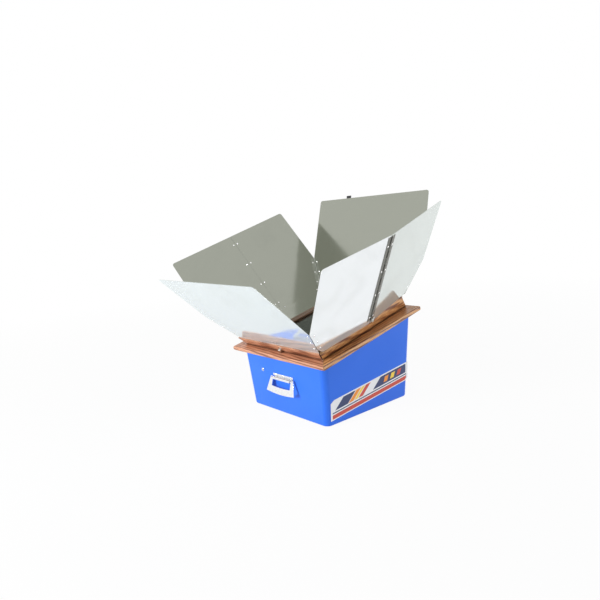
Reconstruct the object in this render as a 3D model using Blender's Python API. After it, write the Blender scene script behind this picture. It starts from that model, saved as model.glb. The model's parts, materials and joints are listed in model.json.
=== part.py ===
"""Box solar oven with a folding ring of sheet reflectors.

Sizes are in metres. The world origin is the middle of the case's base, +Z is up,
-Y is the low side with the carrying handle and +X is the side to its right.
Three frames carry the shapes: the world, the sloping mouth of the case (MOUTH) and
the reflector ring, a cone of sheets that leans slightly more than the mouth.
"""
import math

import bmesh
import bpy
import numpy as np
from mathutils import Matrix, Vector

# Mouth of the case: a plane that rises from the low side to the high side
MOUTH_TILT = math.radians(12.8)
MOUTH_HEIGHT = 0.260

# Case
BASE_HALF_X = 0.197
BASE_FRONT_Y = -0.1966
BASE_BACK_Y = 0.1949
SIDE_DRAFT = 0.0708
FRONT_DRAFT = 0.0681
BACK_DRAFT = 0.0574
CORNER_RADIUS = 0.022
CASE_WALL = 0.003
BASE_EDGE = 0.006

# Reflector ring: six rigid sheets whose planes meet in one apex below the mouth
RING_LEAN = math.radians(3.81)
CONE = math.radians(30.33)
RING_FOOT_HALF = 0.2118
RING_MIDDLE_V = -0.0057
RING_MIDDLE_N = 0.0452
BASE_SLANT = RING_FOOT_HALF / math.sin(CONE)
SHEET = 0.0012
PETAL_TOP = 0.3612
PETAL_HALF_TOP = 0.2696
PETAL_NOTCH = 0.124
PETAL_LOW = 0.0092
HIGH_PETAL_LOW = 0.0036
PETAL_CORNER = 0.008
FOOT_CHAMFER = 0.0132
BULGE = math.radians(4.42)

# Door, inside the collar
DOOR_SIDE_ROOM = 0.0438
DOOR_FRONT_ROOM = 0.0455
DOOR_BACK_ROOM = 0.0281
DOOR_HALF_U = RING_FOOT_HALF - DOOR_SIDE_ROOM
DOOR_FRONT_V = RING_MIDDLE_V - RING_FOOT_HALF + DOOR_FRONT_ROOM
DOOR_BACK_V = RING_MIDDLE_V + RING_FOOT_HALF - DOOR_BACK_ROOM
DOOR_RAIL = 0.032
DOOR_BOTTOM = 0.0103
DOOR_TOP = 0.0263
DOOR_EDGE = 0.002
GLASS_THICKNESS = 0.004
GLASS_BITE = 0.009
GLASS_UNDER = 0.0036
DOOR_HINGE_V = DOOR_BACK_V + 0.0082
DOOR_HINGE_N = DOOR_TOP + 0.0023
DOOR_HINGE_LENGTH = 2 * (DOOR_HALF_U - 0.028)
DOOR_LEAF_ON = 0.022
DOOR_LEAF_WALL = 0.014
GASKET_IN = 0.0095
GASKET_WIDTH = 0.008
LATCH_OUT = 0.0075
LATCH_U = DOOR_HALF_U - 0.068
LATCH_POST = 0.0050
LATCH_ARM = 0.024
LATCH_TAIL = 0.0065
LATCH_HALF = 0.0055

# Oven chamber
LINER_HALF = DOOR_HALF_U - 0.0186
LINER_SHEET = 0.001
LINER_FLOOR_Z = 0.042
LINER_FRONT_DRAFT = 0.235
LINER_BACK_DRAFT = 0.08
LINER_RADIUS = 0.020

# Swinging shelf and its hangers
HANGER_FACE = LINER_HALF - 0.0129
HANGER_HALF = 0.009
RACK_PIVOT_N = -0.037
RACK_PIN = 0.0027
RACK_SIDE_ROOM = 0.0165
RACK_HALF_X = HANGER_FACE - RACK_SIDE_ROOM
RACK_HALF_Y = 0.085
RACK_DROP = 0.090
RACK_BAR = 0.002
RACK_WIRE = 0.0012
RACK_WIRE_PITCH = 0.016
RACK_EAR_FOOT = 0.070
RACK_EAR_TOP = 0.010

# Flat wooden flange on the case
FLANGE_HALF = 0.2413
FLANGE_OPENING = LINER_HALF + 0.0006
FLANGE_TOP = 0.007
FLANGE_BOTTOM = -0.008
FLANGE_EDGE = 0.0025

# Collar of four leaning boards
BOARD = 0.016
BOARD_TOP = 0.008
BOARD_PROUD = 0.005
LOW_BOARD_PROUD = 0.0036
HIGH_BOARD_TOP = -0.0034
SIDE_FOOT_V = RING_MIDDLE_V + RING_FOOT_HALF + 0.0249
SIDE_PEAK_V = RING_MIDDLE_V + RING_FOOT_HALF - 0.0201
SIDE_PEAK_N = 0.058
MITRE_GAP = 0.0040
LINING = 0.001

# Piano hinges
HINGE_OFFSET = 0.0028
CORNER_CUT = -0.0012
OPEN_CORNER_CUT = 0.003
CENTRE_GAP = 0.0003
KNUCKLE_RADIUS = 0.0019
BORE_RADIUS = 0.00115
PIN_RADIUS = 0.0008
LEAF = 0.0008
LEAF_SEAT = 0.0002
LEAF_WIDTH = 0.015
LEAF_CLEAR = 0.0024
OPEN_LEAF_CLEAR = 0.0055
OPEN_KNUCKLE_GAP = 0.003
KNUCKLE_GAP = 0.0004
TOOTH_INSET = 0.0005
KNUCKLE_SIDES = 6
RIVET_HEAD = 0.0026
RIVET_SHANK = 0.0012
RIVET_HOLE = 0.0017
RIVET_RISE = 0.0004
RIVET_DOME = 0.0003
RIVET_IN = 0.009
RIVET_SIDES = 6
BASE_HINGE_LENGTH = 0.340

# Fixings of the ring
BRACKET = 0.0012
LOW_SCREW_U = 0.0093
LOW_SCREW_S = -0.0119
LOW_SCREW_HEAD = 0.0065
SCREW_HEIGHT = 0.009
TONGUE_HALF = 0.016
TONGUE_CLEAR = 0.0014
TONGUE_UP = 0.036
TONGUE_DOWN = -0.022
CLIP_IN = 0.0026
CLIP_OUT = 0.0238
CLIP_HEIGHT = 0.0132
CLIP_SCREW_X = 0.0112
CLIP_SCREW_HEAD = 0.0050
CLIP_SCREW_HEIGHT = 0.0044
CLIP_RIVET_X = 0.0200
STRAP_U = -0.111
STRAP_HALF = 0.0125
STRAP_THICK = 0.0022
STRAP_LENGTH = 0.1362
STRAP_ABOVE = 0.010
STRAP_SNAP = 0.0062

# Carrying handle and closing stud on the low wall
HANDLE_X = 0.003
HANDLE_UP = 0.1265
HANDLE_AXIS_OUT = 0.0075
HANDLE_RAKE = math.radians(19.0)
HANDLE_TOP_HALF = 0.059
HANDLE_LOW_HALF = 0.0725
HANDLE_DROP = 0.046
HANDLE_SAG = 0.005
HANDLE_WINDOW_HALF = 0.048
HANDLE_WINDOW_LOW = -0.027
HANDLE_WINDOW_SAG = 0.002
HANDLE_SHEET = 0.003
HANDLE_ROD = 0.0031
PLATE_HALF = 0.052
PLATE_LOW = -0.004
PLATE_HIGH = 0.014
PLATE_THICK = 0.0016
BARREL_RADIUS = 0.0058
BARREL_HALF = 0.0435
STUD_X = -0.109
STUD_UP = 0.142

# Sliding leg on the high wall
LEG_WIDE = 0.011
LEG_THICK = 0.008
LEG_HIGH = 0.230
LEG_LOW = 0.014
LEG_SIDE_ROOM = 0.0006
LEG_FACE_ROOM = 0.0012
LEG_HOLE_UP = 0.100
LEG_HOLE_PITCH = 0.014
LEG_HOLES = 9
CHANNEL_SHEET = 0.0014
CHANNEL_LIP = 0.009
CHANNEL_LOW = 0.060
CHANNEL_HIGH = 0.212
FOOT_WALL = 0.003
FOOT_TOP = 0.022
PLUNGER_PIN = 0.0027
PLUNGER_COLLAR = 0.0055
PLUNGER_KNOB = 0.0080

SCREW_HEAD = 0.0028
SCREW_RISE = 0.0016
SEAT = 0.0003
SMOOTH_ANGLE = math.radians(35.0)

# Colour, roughness and metallic value of each finish
FINISHES = {
    "blue plastic": ((0.06, 0.20, 0.80), 0.32, 0.0),
    "reddish wood": ((0.52, 0.22, 0.10), 0.40, 0.0),
    "brown wood": ((0.42, 0.21, 0.12), 0.42, 0.0),
    "clear glass": ((0.80, 0.88, 0.85), 0.05, 0.0),
    "polished sheet": ((0.82, 0.84, 0.83), 0.12, 1.0),
    "satin steel": ((0.64, 0.65, 0.66), 0.32, 1.0),
    "bright chrome": ((0.86, 0.87, 0.89), 0.08, 1.0),
    "drawn aluminium": ((0.72, 0.73, 0.74), 0.35, 1.0),
    "black enamel": ((0.015, 0.018, 0.017), 0.50, 0.0),
    "black rubber": ((0.02, 0.02, 0.02), 0.75, 0.0),
    "black webbing": ((0.02, 0.02, 0.02), 0.85, 0.0),
    "fibre wool": ((0.66, 0.60, 0.40), 0.95, 0.0),
}

# The finish of each piece, found by how its name starts
FINISH_OF = {
    "case_shell": "blue plastic",
    "flange_": "reddish wood",
    "collar_lining": "polished sheet",
    "collar_": "brown wood",
    "door_rail": "brown wood",
    "door_stile": "brown wood",
    "door_glass": "clear glass",
    "door_gasket": "black rubber",
    "door_": "satin steel",
    "reflector_": "polished sheet",
    "hinge_": "satin steel",
    "base_hinge": "satin steel",
    "clip_": "satin steel",
    "thumb_screw": "satin steel",
    "low_petal_tongue": "satin steel",
    "handle_": "bright chrome",
    "snap_stud": "bright chrome",
    "swing_rack": "bright chrome",
    "oven_liner": "black enamel",
    "insulation": "fibre wool",
    "closing_strap": "black webbing",
    "leg_foot": "black rubber",
    "leg_plunger": "satin steel",
    "leg_": "drawn aluminium",
}


# Vectors and frames

def vec(*values):
    return np.array(values, dtype=float)


def unit(v):
    return v / np.linalg.norm(v)


class Frame:
    """An origin with three unit axes; `at` turns local numbers into a world point."""

    def __init__(self, origin, x, y, z):
        self.origin = np.array(origin, dtype=float)
        self.x = unit(np.array(x, dtype=float))
        self.y = unit(np.array(y, dtype=float))
        self.z = unit(np.array(z, dtype=float))

    def at(self, x, y, z):
        return self.origin + self.x * x + self.y * y + self.z * z

    def along(self, x, y, z):
        return self.x * x + self.y * y + self.z * z

    def matrix(self):
        turn = Matrix((self.x, self.y, self.z)).transposed().to_4x4()
        return Matrix.Translation(Vector(self.origin)) @ turn


def turned(v, axis, angle):
    """The vector v turned about a unit axis."""
    c, s = math.cos(angle), math.sin(angle)
    return v * c + np.cross(axis, v) * s + axis * (axis @ v) * (1 - c)


def axis_frame(point, axis):
    """A frame whose z runs along an axis through a point."""
    side = vec(1, 0, 0) if abs(axis[0]) < 0.8 else vec(0, 1, 0)
    x = unit(np.cross(axis, side))
    return Frame(point, x, np.cross(axis, x), axis)


def span(middle, half):
    return middle - half, middle + half


# Solids in mesh code

class Shape:
    """Closed solids under construction in one bmesh."""

    def __init__(self):
        self.work = bmesh.new()

    def prism(self, frame, outline, z0, z1):
        """An outline in a frame's x and y, extruded along its z."""
        corners = [self.work.verts.new(frame.at(x, y, z0)) for x, y in outline]
        face = self.work.faces.new(corners)
        grown = bmesh.ops.extrude_face_region(self.work, geom=[face])["geom"]
        moved = [item for item in grown if isinstance(item, bmesh.types.BMVert)]
        bmesh.ops.translate(self.work, vec=frame.z * (z1 - z0), verts=moved)
        return self

    def box(self, frame, x, y, z):
        middle = [(low + high) / 2 for low, high in (x, y, z)]
        size = [abs(high - low) for low, high in (x, y, z)]
        place = frame.matrix() @ Matrix.Translation(middle) @ Matrix.Diagonal((*size, 1.0))
        bmesh.ops.create_cube(self.work, size=1.0, matrix=place)
        return self

    def rod(self, start, end, radius, sides=10):
        """A round rod of this many flats between two points."""
        run = np.array(end) - np.array(start)
        length = float(np.linalg.norm(run))
        place = axis_frame(start, run / length).matrix() @ Matrix.Translation((0, 0, length / 2))
        place = place @ Matrix.Rotation(math.pi / sides, 4, "Z")
        bmesh.ops.create_cone(self.work, cap_ends=True, segments=sides, radius1=radius,
                              radius2=radius, depth=length, matrix=place)
        return self

    def lathe(self, start, axis, profile, sides=8):
        """A turned solid from (distance along the axis, radius) pairs."""
        frame = axis_frame(start, axis)
        first = math.pi / sides
        points = [frame.at(r * math.cos(first), r * math.sin(first), z) for z, r in profile]
        corners = [self.work.verts.new(point) for point in points]
        edges = [self.work.edges.new(pair) for pair in zip(corners, corners[1:])]
        bmesh.ops.spin(self.work, geom=corners + edges, cent=frame.origin, axis=frame.z,
                       angle=2 * math.pi, steps=sides, use_merge=True)
        rims = [edge for edge in self.work.edges if edge.is_boundary]
        bmesh.ops.holes_fill(self.work, edges=rims, sides=0)
        return self

    def skin(self, loops):
        """A skin over loops of equal length, closed at both ends."""
        rows = [[self.work.verts.new(point) for point in loop] for loop in loops]
        count = len(rows[0])
        for low, high in zip(rows, rows[1:]):
            for i in range(count):
                j = (i + 1) % count
                self.work.faces.new((low[i], low[j], high[j], high[i]))
        self.work.faces.new(rows[0][::-1])
        self.work.faces.new(rows[-1])
        return self

    def band(self, loops):
        """A closed ring whose section is given by loops round it."""
        rows = [[self.work.verts.new(point) for point in loop] for loop in loops]
        count = len(rows[0])
        for low, high in zip(rows, rows[1:] + rows[:1]):
            for i in range(count):
                j = (i + 1) % count
                self.work.faces.new((low[i], low[j], high[j], high[i]))
        return self

    def make(self, name):
        bmesh.ops.recalc_face_normals(self.work, faces=self.work.faces)
        mesh = bpy.data.meshes.new(name)
        self.work.to_mesh(mesh)
        self.work.free()
        item = bpy.data.objects.new(name, mesh)
        bpy.context.scene.collection.objects.link(item)
        return item


def combine(item, shape, operation):
    """Join or cut an object with a shape and keep the result as its mesh."""
    tool = shape.make("tool")
    step = item.modifiers.new("step", "BOOLEAN")
    step.operation = operation
    step.solver = "EXACT"
    step.object = tool
    bpy.context.view_layer.update()
    view = bpy.context.evaluated_depsgraph_get()
    result = bpy.data.meshes.new_from_object(item.evaluated_get(view))
    item.modifiers.remove(step)
    item.data = result
    bpy.data.objects.remove(tool, do_unlink=True)
    return item


def fused(name, shapes):
    """One solid from shapes that overlap."""
    item = shapes[0].make(name)
    for shape in shapes[1:]:
        combine(item, shape, "UNION")
    return item


def block(pairs):
    """A six-sided block from three pairs of planes, each plane a point and a normal."""
    def corner(a, b, c):
        rows = np.array([a[1], b[1], c[1]])
        return np.linalg.solve(rows, np.array([a[1] @ a[0], b[1] @ b[0], c[1] @ c[0]]))

    turn = ((0, 0), (1, 0), (1, 1), (0, 1))
    return Shape().skin([[corner(pairs[0][i], pairs[1][j], c) for i, j in turn] for c in pairs[2]])


def clip(outline, point, inward):
    """The part of a flat outline on the inward side of a line."""
    kept = []
    for i, a in enumerate(outline):
        b = outline[(i + 1) % len(outline)]
        da = (a[0] - point[0]) * inward[0] + (a[1] - point[1]) * inward[1]
        db = (b[0] - point[0]) * inward[0] + (b[1] - point[1]) * inward[1]
        if da >= 0:
            kept.append(a)
        if da * db < 0:
            t = da / (da - db)
            kept.append((a[0] + t * (b[0] - a[0]), a[1] + t * (b[1] - a[1])))
    return kept


def rounded_rectangle(x0, x1, y0, y1, radius, steps=4):
    points = []
    centres = ((x1 - radius, y0 + radius, -90), (x1 - radius, y1 - radius, 0),
               (x0 + radius, y1 - radius, 90), (x0 + radius, y0 + radius, 180))
    for cx, cy, start in centres:
        for i in range(steps + 1):
            a = math.radians(start + 90 * i / steps)
            points.append((cx + radius * math.cos(a), cy + radius * math.sin(a)))
    return points


# Frames of the mouth and of the reflector ring

WORLD_X = vec(1, 0, 0)
MOUTH = Frame((0, 0, MOUTH_HEIGHT), WORLD_X,
              (0, math.cos(MOUTH_TILT), math.sin(MOUTH_TILT)),
              (0, -math.sin(MOUTH_TILT), math.cos(MOUTH_TILT)))
RING_V = turned(MOUTH.y, WORLD_X, RING_LEAN)
RING_N = turned(MOUTH.z, WORLD_X, RING_LEAN)
CENTRE = MOUTH.at(0, RING_MIDDLE_V, RING_MIDDLE_N) - RING_N * BASE_SLANT * math.cos(CONE)
HALF_ANGLE = math.atan(math.sin(CONE))


def petal_frame(across, toward):
    """A sheet's frame: x across it, y up its slope from the apex, z out of the ring."""
    slope = RING_N * math.cos(CONE) + toward * math.sin(CONE)
    out = toward * math.cos(CONE) - RING_N * math.sin(CONE)
    return Frame(CENTRE, across, slope, out)


def halved(frame, line, angle):
    """A half sheet's frame, turned out about its corner line."""
    return Frame(frame.origin, turned(frame.x, line, angle), turned(frame.y, line, angle),
                 turned(frame.z, line, angle))


def corner_line(frame, sign):
    return frame.along(sign * math.sin(HALF_ANGLE), math.cos(HALF_ANGLE), 0)


HIGH = petal_frame(WORLD_X, RING_V)
LOW = petal_frame(WORLD_X, -RING_V)
RIGHT = petal_frame(RING_V, WORLD_X)
LEFT = petal_frame(RING_V, -WORLD_X)
RIGHT_LOW = halved(RIGHT, corner_line(RIGHT, -1), -BULGE)
RIGHT_HIGH = halved(RIGHT, corner_line(RIGHT, 1), BULGE)


def plane(frame, z=0.0, y=None):
    """A plane square to a frame's z or y, as a point and a normal."""
    if y is not None:
        return frame.at(0, y, 0), frame.y
    return frame.at(0, 0, z), frame.z


def slant(rise, frame):
    """The plane that crosses a sheet or board at a distance above the ring's foot line."""
    return plane(frame, y=BASE_SLANT + rise)


def shared_line(first, second):
    """The line where two planes meet, as a point near the apex and a direction."""
    direction = unit(np.cross(first[1], second[1]))
    rows = np.array([first[1], second[1], direction])
    values = np.array([first[1] @ first[0], second[1] @ second[0], direction @ CENTRE])
    return np.linalg.solve(rows, values), direction


def hinge_axis(first, second, side, guide):
    """A hinge axis that runs HINGE_OFFSET off two sheets; side is -1 inside, 1 outside."""
    a = plane(first, z=side * HINGE_OFFSET)
    b = plane(second, z=side * HINGE_OFFSET)
    if np.linalg.norm(np.cross(first.z, second.z)) < 1e-6:
        return a[0], guide
    point, direction = shared_line(a, b)
    return point, direction * np.sign(direction @ guide)


# Case, liner and what fills the space between them

def case_lines(inset):
    """Points of the case's foot with the direction in which each runs up its drafted wall."""
    radius = CORNER_RADIUS - min(inset, CORNER_RADIUS * 0.6)
    outline = rounded_rectangle(-BASE_HALF_X + inset, BASE_HALF_X - inset,
                                BASE_FRONT_Y + inset, BASE_BACK_Y - inset, radius)
    lines = []
    for x, y in outline:
        rise = vec(SIDE_DRAFT * np.sign(x), BACK_DRAFT if y > 0 else -FRONT_DRAFT, 1)
        lines.append((vec(x, y, 0), rise))
    return lines


def at_height(lines, z):
    return [point + rise * ((z - point[2]) / rise[2]) for point, rise in lines]


def at_level(lines, level):
    """Where the lines of a wall meet a level of the mouth frame."""
    loop = []
    for point, rise in lines:
        t = ((MOUTH.at(0, 0, level) - point) @ MOUTH.z) / (rise @ MOUTH.z)
        loop.append(point + rise * t)
    return loop


def open_box(name, outside, inside):
    """A box without a lid: loops from the outer floor up over the rim to the inner floor."""
    return Shape().skin(outside + inside[::-1]).make(name)


def build_case():
    rim = FLANGE_BOTTOM - SEAT
    outside = [at_height(case_lines(BASE_EDGE * 0.8), 0.0),
               at_height(case_lines(BASE_EDGE * 0.25), BASE_EDGE * 0.3),
               at_height(case_lines(0.0), BASE_EDGE), at_level(case_lines(0.0), rim)]
    inner = case_lines(CASE_WALL)
    inside = [at_height(case_lines(CASE_WALL + BASE_EDGE / 3), CASE_WALL),
              at_height(inner, CASE_WALL + BASE_EDGE), at_level(inner, rim)]
    open_box("case_shell", outside, inside)


def liner_lines(outset):
    """Points of the liner's mouth with the direction in which each runs down its wall."""
    half = LINER_HALF + outset
    outline = rounded_rectangle(-half, half, -half, half, LINER_RADIUS + outset)
    lines = []
    for u, v in outline:
        fall = vec(0, -LINER_BACK_DRAFT if v > 0 else LINER_FRONT_DRAFT, -1)
        lines.append((MOUTH.at(u, v, FLANGE_TOP - LINER_SHEET), fall))
    return lines


def build_liner():
    outer, inner = liner_lines(0.0), liner_lines(-LINER_SHEET)
    rim = FLANGE_TOP - LINER_SHEET
    outside = [at_height(outer, LINER_FLOOR_Z), at_level(outer, rim)]
    inside = [at_height(inner, LINER_FLOOR_Z + LINER_SHEET), at_level(inner, rim)]
    liner = open_box("oven_liner", outside, inside)
    wall = LINER_HALF - LINER_SHEET / 2
    hangers, bores = Shape(), Shape()
    for side in (-1, 1):
        hangers.box(MOUTH, (side * HANGER_FACE, side * wall), span(0.0, HANGER_HALF),
                    span(RACK_PIVOT_N, HANGER_HALF))
        bores.rod(MOUTH.at(side * (HANGER_FACE - 0.005), 0, RACK_PIVOT_N),
                  MOUTH.at(side * (HANGER_FACE + 0.008), 0, RACK_PIVOT_N), RACK_PIN + 0.0007)
    combine(liner, hangers, "UNION")
    combine(liner, bores, "DIFFERENCE")


def build_insulation():
    """Matted fibre between the case and the liner."""
    level = FLANGE_BOTTOM - 2 * SEAT
    gap = CASE_WALL + SEAT
    outside = [at_height(case_lines(gap + BASE_EDGE / 3), gap),
               at_height(case_lines(gap), CASE_WALL + BASE_EDGE + SEAT), at_level(case_lines(gap), level)]
    liner = liner_lines(SEAT)
    inside = [at_height(liner, LINER_FLOOR_Z - SEAT), at_level(liner, level)]
    open_box("insulation", outside, inside)


# Mitred frames in the mouth plane: a side's name, its direction and the way out

SIDES = (("low", MOUTH.x, -MOUTH.y), ("right", MOUTH.y, MOUTH.x),
         ("high", -MOUTH.x, MOUTH.y), ("left", -MOUTH.y, -MOUTH.x))
MITRE_SEAT = 0.0003


def mitred_side(name, along, outward, section, half, out, shift=0.0):
    """One side of a mitred frame from a closed section of (inset, level) points.

    half is the half length of the frame's outer edge, out its distance from the mouth's
    middle, and shift moves the side along itself.
    """
    ends = []
    for sign in (-1, 1):
        ends.append([MOUTH.origin + along * (shift + sign * (half - inset - MITRE_SEAT))
                     + outward * (out - inset) + MOUTH.z * level for inset, level in section])
    return Shape().skin(ends).make(name)


def build_flange():
    e = FLANGE_EDGE
    width = FLANGE_HALF - FLANGE_OPENING
    section = [(0.0, FLANGE_BOTTOM + e), (0.0, FLANGE_TOP - e), (e, FLANGE_TOP),
               (width, FLANGE_TOP), (width, FLANGE_BOTTOM), (e, FLANGE_BOTTOM)]
    for side, along, outward in SIDES:
        mitred_side("flange_" + side, along, outward, section, FLANGE_HALF, FLANGE_HALF)


def build_gasket():
    outer = DOOR_HALF_U - GASKET_IN
    inner = outer - GASKET_WIDTH
    low, high = FLANGE_TOP + LEAF_SEAT, DOOR_BOTTOM - LEAF_SEAT
    loops = []
    for half, level in ((inner, low), (outer, low), (outer, high), (inner, high)):
        outline = rounded_rectangle(-half, half, -half, half, LINER_RADIUS)
        loops.append([MOUTH.at(u, v, level) for u, v in outline])
    Shape().band(loops).make("door_gasket")


def build_door():
    """Four rebated rails and stiles with the pane between their lips."""
    bite = DOOR_RAIL - GLASS_BITE
    low = DOOR_BOTTOM + GLASS_UNDER
    high = low + GLASS_THICKNESS + 2 * SEAT
    e = DOOR_EDGE
    section = [(0.0, DOOR_BOTTOM), (0.0, DOOR_TOP - e), (e, DOOR_TOP), (DOOR_RAIL - e, DOOR_TOP),
               (DOOR_RAIL, DOOR_TOP - e), (DOOR_RAIL, high), (bite, high), (bite, low),
               (DOOR_RAIL, low), (DOOR_RAIL, DOOR_BOTTOM)]
    middle = (DOOR_FRONT_V + DOOR_BACK_V) / 2
    half_v = (DOOR_BACK_V - DOOR_FRONT_V) / 2
    plan = {"low": ("door_rail_low", DOOR_HALF_U, -DOOR_FRONT_V, 0.0),
            "high": ("door_rail_high", DOOR_HALF_U, DOOR_BACK_V, 0.0),
            "right": ("door_stile_right", half_v, DOOR_HALF_U, middle),
            "left": ("door_stile_left", half_v, DOOR_HALF_U, -middle)}
    for side, along, outward in SIDES:
        name, half, out, shift = plan[side]
        mitred_side(name, along, outward, section, half, out, shift)
    rim = bite + SEAT
    pane = Shape().box(MOUTH, (-DOOR_HALF_U + rim, DOOR_HALF_U - rim),
                       (DOOR_FRONT_V + rim, DOOR_BACK_V - rim), (low + SEAT, high - SEAT))
    pane.make("door_glass")


# Collar of leaning boards

def mitre(first, second, side):
    """The plane that ends a board at a corner, half the mitre gap back from it."""
    normal = unit(first.z - second.z)
    return CENTRE + normal * side * MITRE_GAP / 2, normal


def board_end():
    """The sloping high end of the side boards."""
    run = MOUTH.along(0, SIDE_PEAK_V - SIDE_FOOT_V, SIDE_PEAK_N - FLANGE_TOP)
    return MOUTH.at(0, SIDE_FOOT_V, FLANGE_TOP), unit(np.cross(run, MOUTH.x))


def build_collar():
    floor = plane(MOUTH, z=FLANGE_TOP + SEAT)

    def faces(frame, proud):
        return plane(frame, z=proud), plane(frame, z=proud - BOARD)

    low = block((faces(LOW, LOW_BOARD_PROUD), (floor, slant(BOARD_TOP, LOW)),
                 (mitre(LOW, LEFT, 1), mitre(LOW, RIGHT, 1)))).make("collar_low")
    ends = []
    for name, frame in (("right", RIGHT), ("left", LEFT)):
        block((faces(frame, BOARD_PROUD), (floor, slant(BOARD_TOP, frame)),
               (mitre(LOW, frame, -1), board_end()))).make("collar_" + name)
        inner = BOARD_PROUD - BOARD - SEAT
        ends.append(plane(frame, z=inner - SEAT))
        lining = (plane(frame, z=inner), plane(frame, z=inner - LINING))
        heights = (plane(MOUTH, z=FLANGE_TOP + 0.0008), slant(BOARD_TOP - 0.002, frame))
        stops = (plane(LOW, z=LOW_BOARD_PROUD - BOARD - LINING), plane(HIGH, z=-SHEET / 2 - LINING))
        block((lining, heights, stops)).make("collar_lining_" + name)
    high_faces = (plane(HIGH, z=BOARD - SHEET / 2), plane(HIGH, z=-SHEET / 2))
    block((high_faces, (floor, slant(HIGH_BOARD_TOP, HIGH)), ends)).make("collar_high")
    return low


# Piano hinges

def comb(length, width, count, parity, clear=LEAF_CLEAR):
    """The leaf's outline along the axis: teeth reach the axis where its knuckles are."""
    pitch = length / count
    outline = [(0.0, clear), (0.0, width), (length, width), (length, clear)]
    for i in reversed(range(count)):
        start, end = i * pitch + TOOTH_INSET, (i + 1) * pitch - TOOTH_INSET
        if i % 2 == parity:
            outline += [(end, clear), (end, 0.0), (start, 0.0), (start, clear)]
    return outline


def knuckle_spans(length, count, parity, gap):
    """Where the knuckles of one leaf start and end along the axis."""
    pitch = length / count
    spans = []
    for i in range(parity, count, 2):
        start = i * pitch + (gap / 2 if i else 0.0)
        end = (i + 1) * pitch - (gap / 2 if i < count - 1 else 0.0)
        spans.append((start, end))
    return spans


def add_barrel(item, frame, length, count, parity, gap=KNUCKLE_GAP, pin=False, bore=True):
    """Knuckles along a frame's x, with the pin in them or a bore for it."""
    spans = knuckle_spans(length, count, parity, gap)
    knuckles = Shape()
    for start, end in spans:
        knuckles.rod(frame.at(start, 0, 0), frame.at(end, 0, 0), KNUCKLE_RADIUS, KNUCKLE_SIDES)
    combine(item, knuckles, "UNION")
    if pin:
        ends = frame.at(spans[0][0] + 0.002, 0, 0), frame.at(spans[-1][1] - 0.002, 0, 0)
        combine(item, Shape().rod(*ends, PIN_RADIUS, 6), "UNION")
    elif bore:
        ends = frame.at(-0.001, 0, 0), frame.at(length + 0.001, 0, 0)
        combine(item, Shape().rod(*ends, BORE_RADIUS, 6), "DIFFERENCE")


def rivet(spot, out, face, thickness, through=True):
    """A rivet whose head lies on a plate of this thickness that starts at face."""
    top = face + thickness
    crown = RIVET_RISE + RIVET_DOME
    profile = [(top - RIVET_RISE, RIVET_HEAD), (top + RIVET_RISE, RIVET_HEAD),
               (top + crown, RIVET_HEAD * 0.6)]
    if through:
        far = face - LEAF_SEAT - SHEET - LEAF_SEAT
        tail = [(far - RIVET_RISE, RIVET_HEAD), (far, RIVET_HEAD)]
        profile = tail + [(far, RIVET_SHANK), (top - RIVET_RISE, RIVET_SHANK)] + profile
    return Shape().lathe(spot, out, profile, RIVET_SIDES)


def leaf(name, frame, length, count, parity, rivets, through=True, clear=LEAF_CLEAR, **barrel):
    """One leaf of a piano hinge on a sheet.

    The frame's x is the axis, its y points into the sheet and its z from the sheet to the
    knuckles; rivets are distances along the axis.
    """
    face = -HINGE_OFFSET + SHEET / 2 + LEAF_SEAT
    outline = comb(length, LEAF_WIDTH, count, parity, clear)
    item = Shape().prism(frame, outline, face, face + LEAF).make(name)
    add_barrel(item, frame, length, count, parity, **barrel)
    for along in rivets:
        combine(item, rivet(frame.at(along, RIVET_IN, 0), frame.z, face, LEAF, through), "UNION")
    return item


class Hinge:
    """A piano hinge between two sheets: its axis, its length and where its rivets sit."""

    def __init__(self, sheets, side, guide, reach, count, rivets, guesses):
        point, self.axis = hinge_axis(*sheets, side, guide)
        start = point + self.axis * (reach[0] - (point - CENTRE) @ self.axis)
        self.length = reach[1] - reach[0]
        self.count = count
        self.rivets = [self.length * share for share in rivets]
        self.frames = []
        for sheet_frame, guess in zip(sheets, guesses):
            across = np.cross(sheet_frame.z, self.axis)
            into = unit(across * np.sign(across @ guess))
            self.frames.append(Frame(start, self.axis, into, sheet_frame.z * side))

    def leaf(self, name, which, **options):
        leaf(name, self.frames[which], self.length, self.count, which, self.rivets, **options)

    def holes(self, which):
        """The rivet holes to drill in one of the two sheets."""
        frame = self.frames[which]
        holes = Shape()
        for along in self.rivets:
            holes.rod(frame.at(along, RIVET_IN, -0.006), frame.at(along, RIVET_IN, 0.006), RIVET_HOLE, 8)
        return holes


def corner_hinge(first, first_sign, second, second_sign, rise):
    """A hinge along the line shared by two neighbouring sheets, up to the notch."""
    line = corner_line(first, first_sign)
    reach = [(BASE_SLANT + y) / math.cos(HALF_ANGLE) for y in (rise, PETAL_NOTCH - 0.003)]
    guesses = first.x * -first_sign, second.x * -second_sign
    return Hinge((first, second), -1, line, reach, 7, (0.14, 0.5, 0.86), guesses)


def centre_hinge(low_half, high_half, guide):
    """The hinge down the middle of a side petal, with room for the clip at its foot."""
    reach = (BASE_SLANT + PETAL_LOW + CLIP_HEIGHT + 0.0026, BASE_SLANT + PETAL_TOP - 0.004)
    return Hinge((low_half, high_half), 1, guide, reach, 13, (0.05, 0.34, 0.62, 0.90),
                 (-low_half.x, high_half.x))


# Reflector sheets

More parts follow.
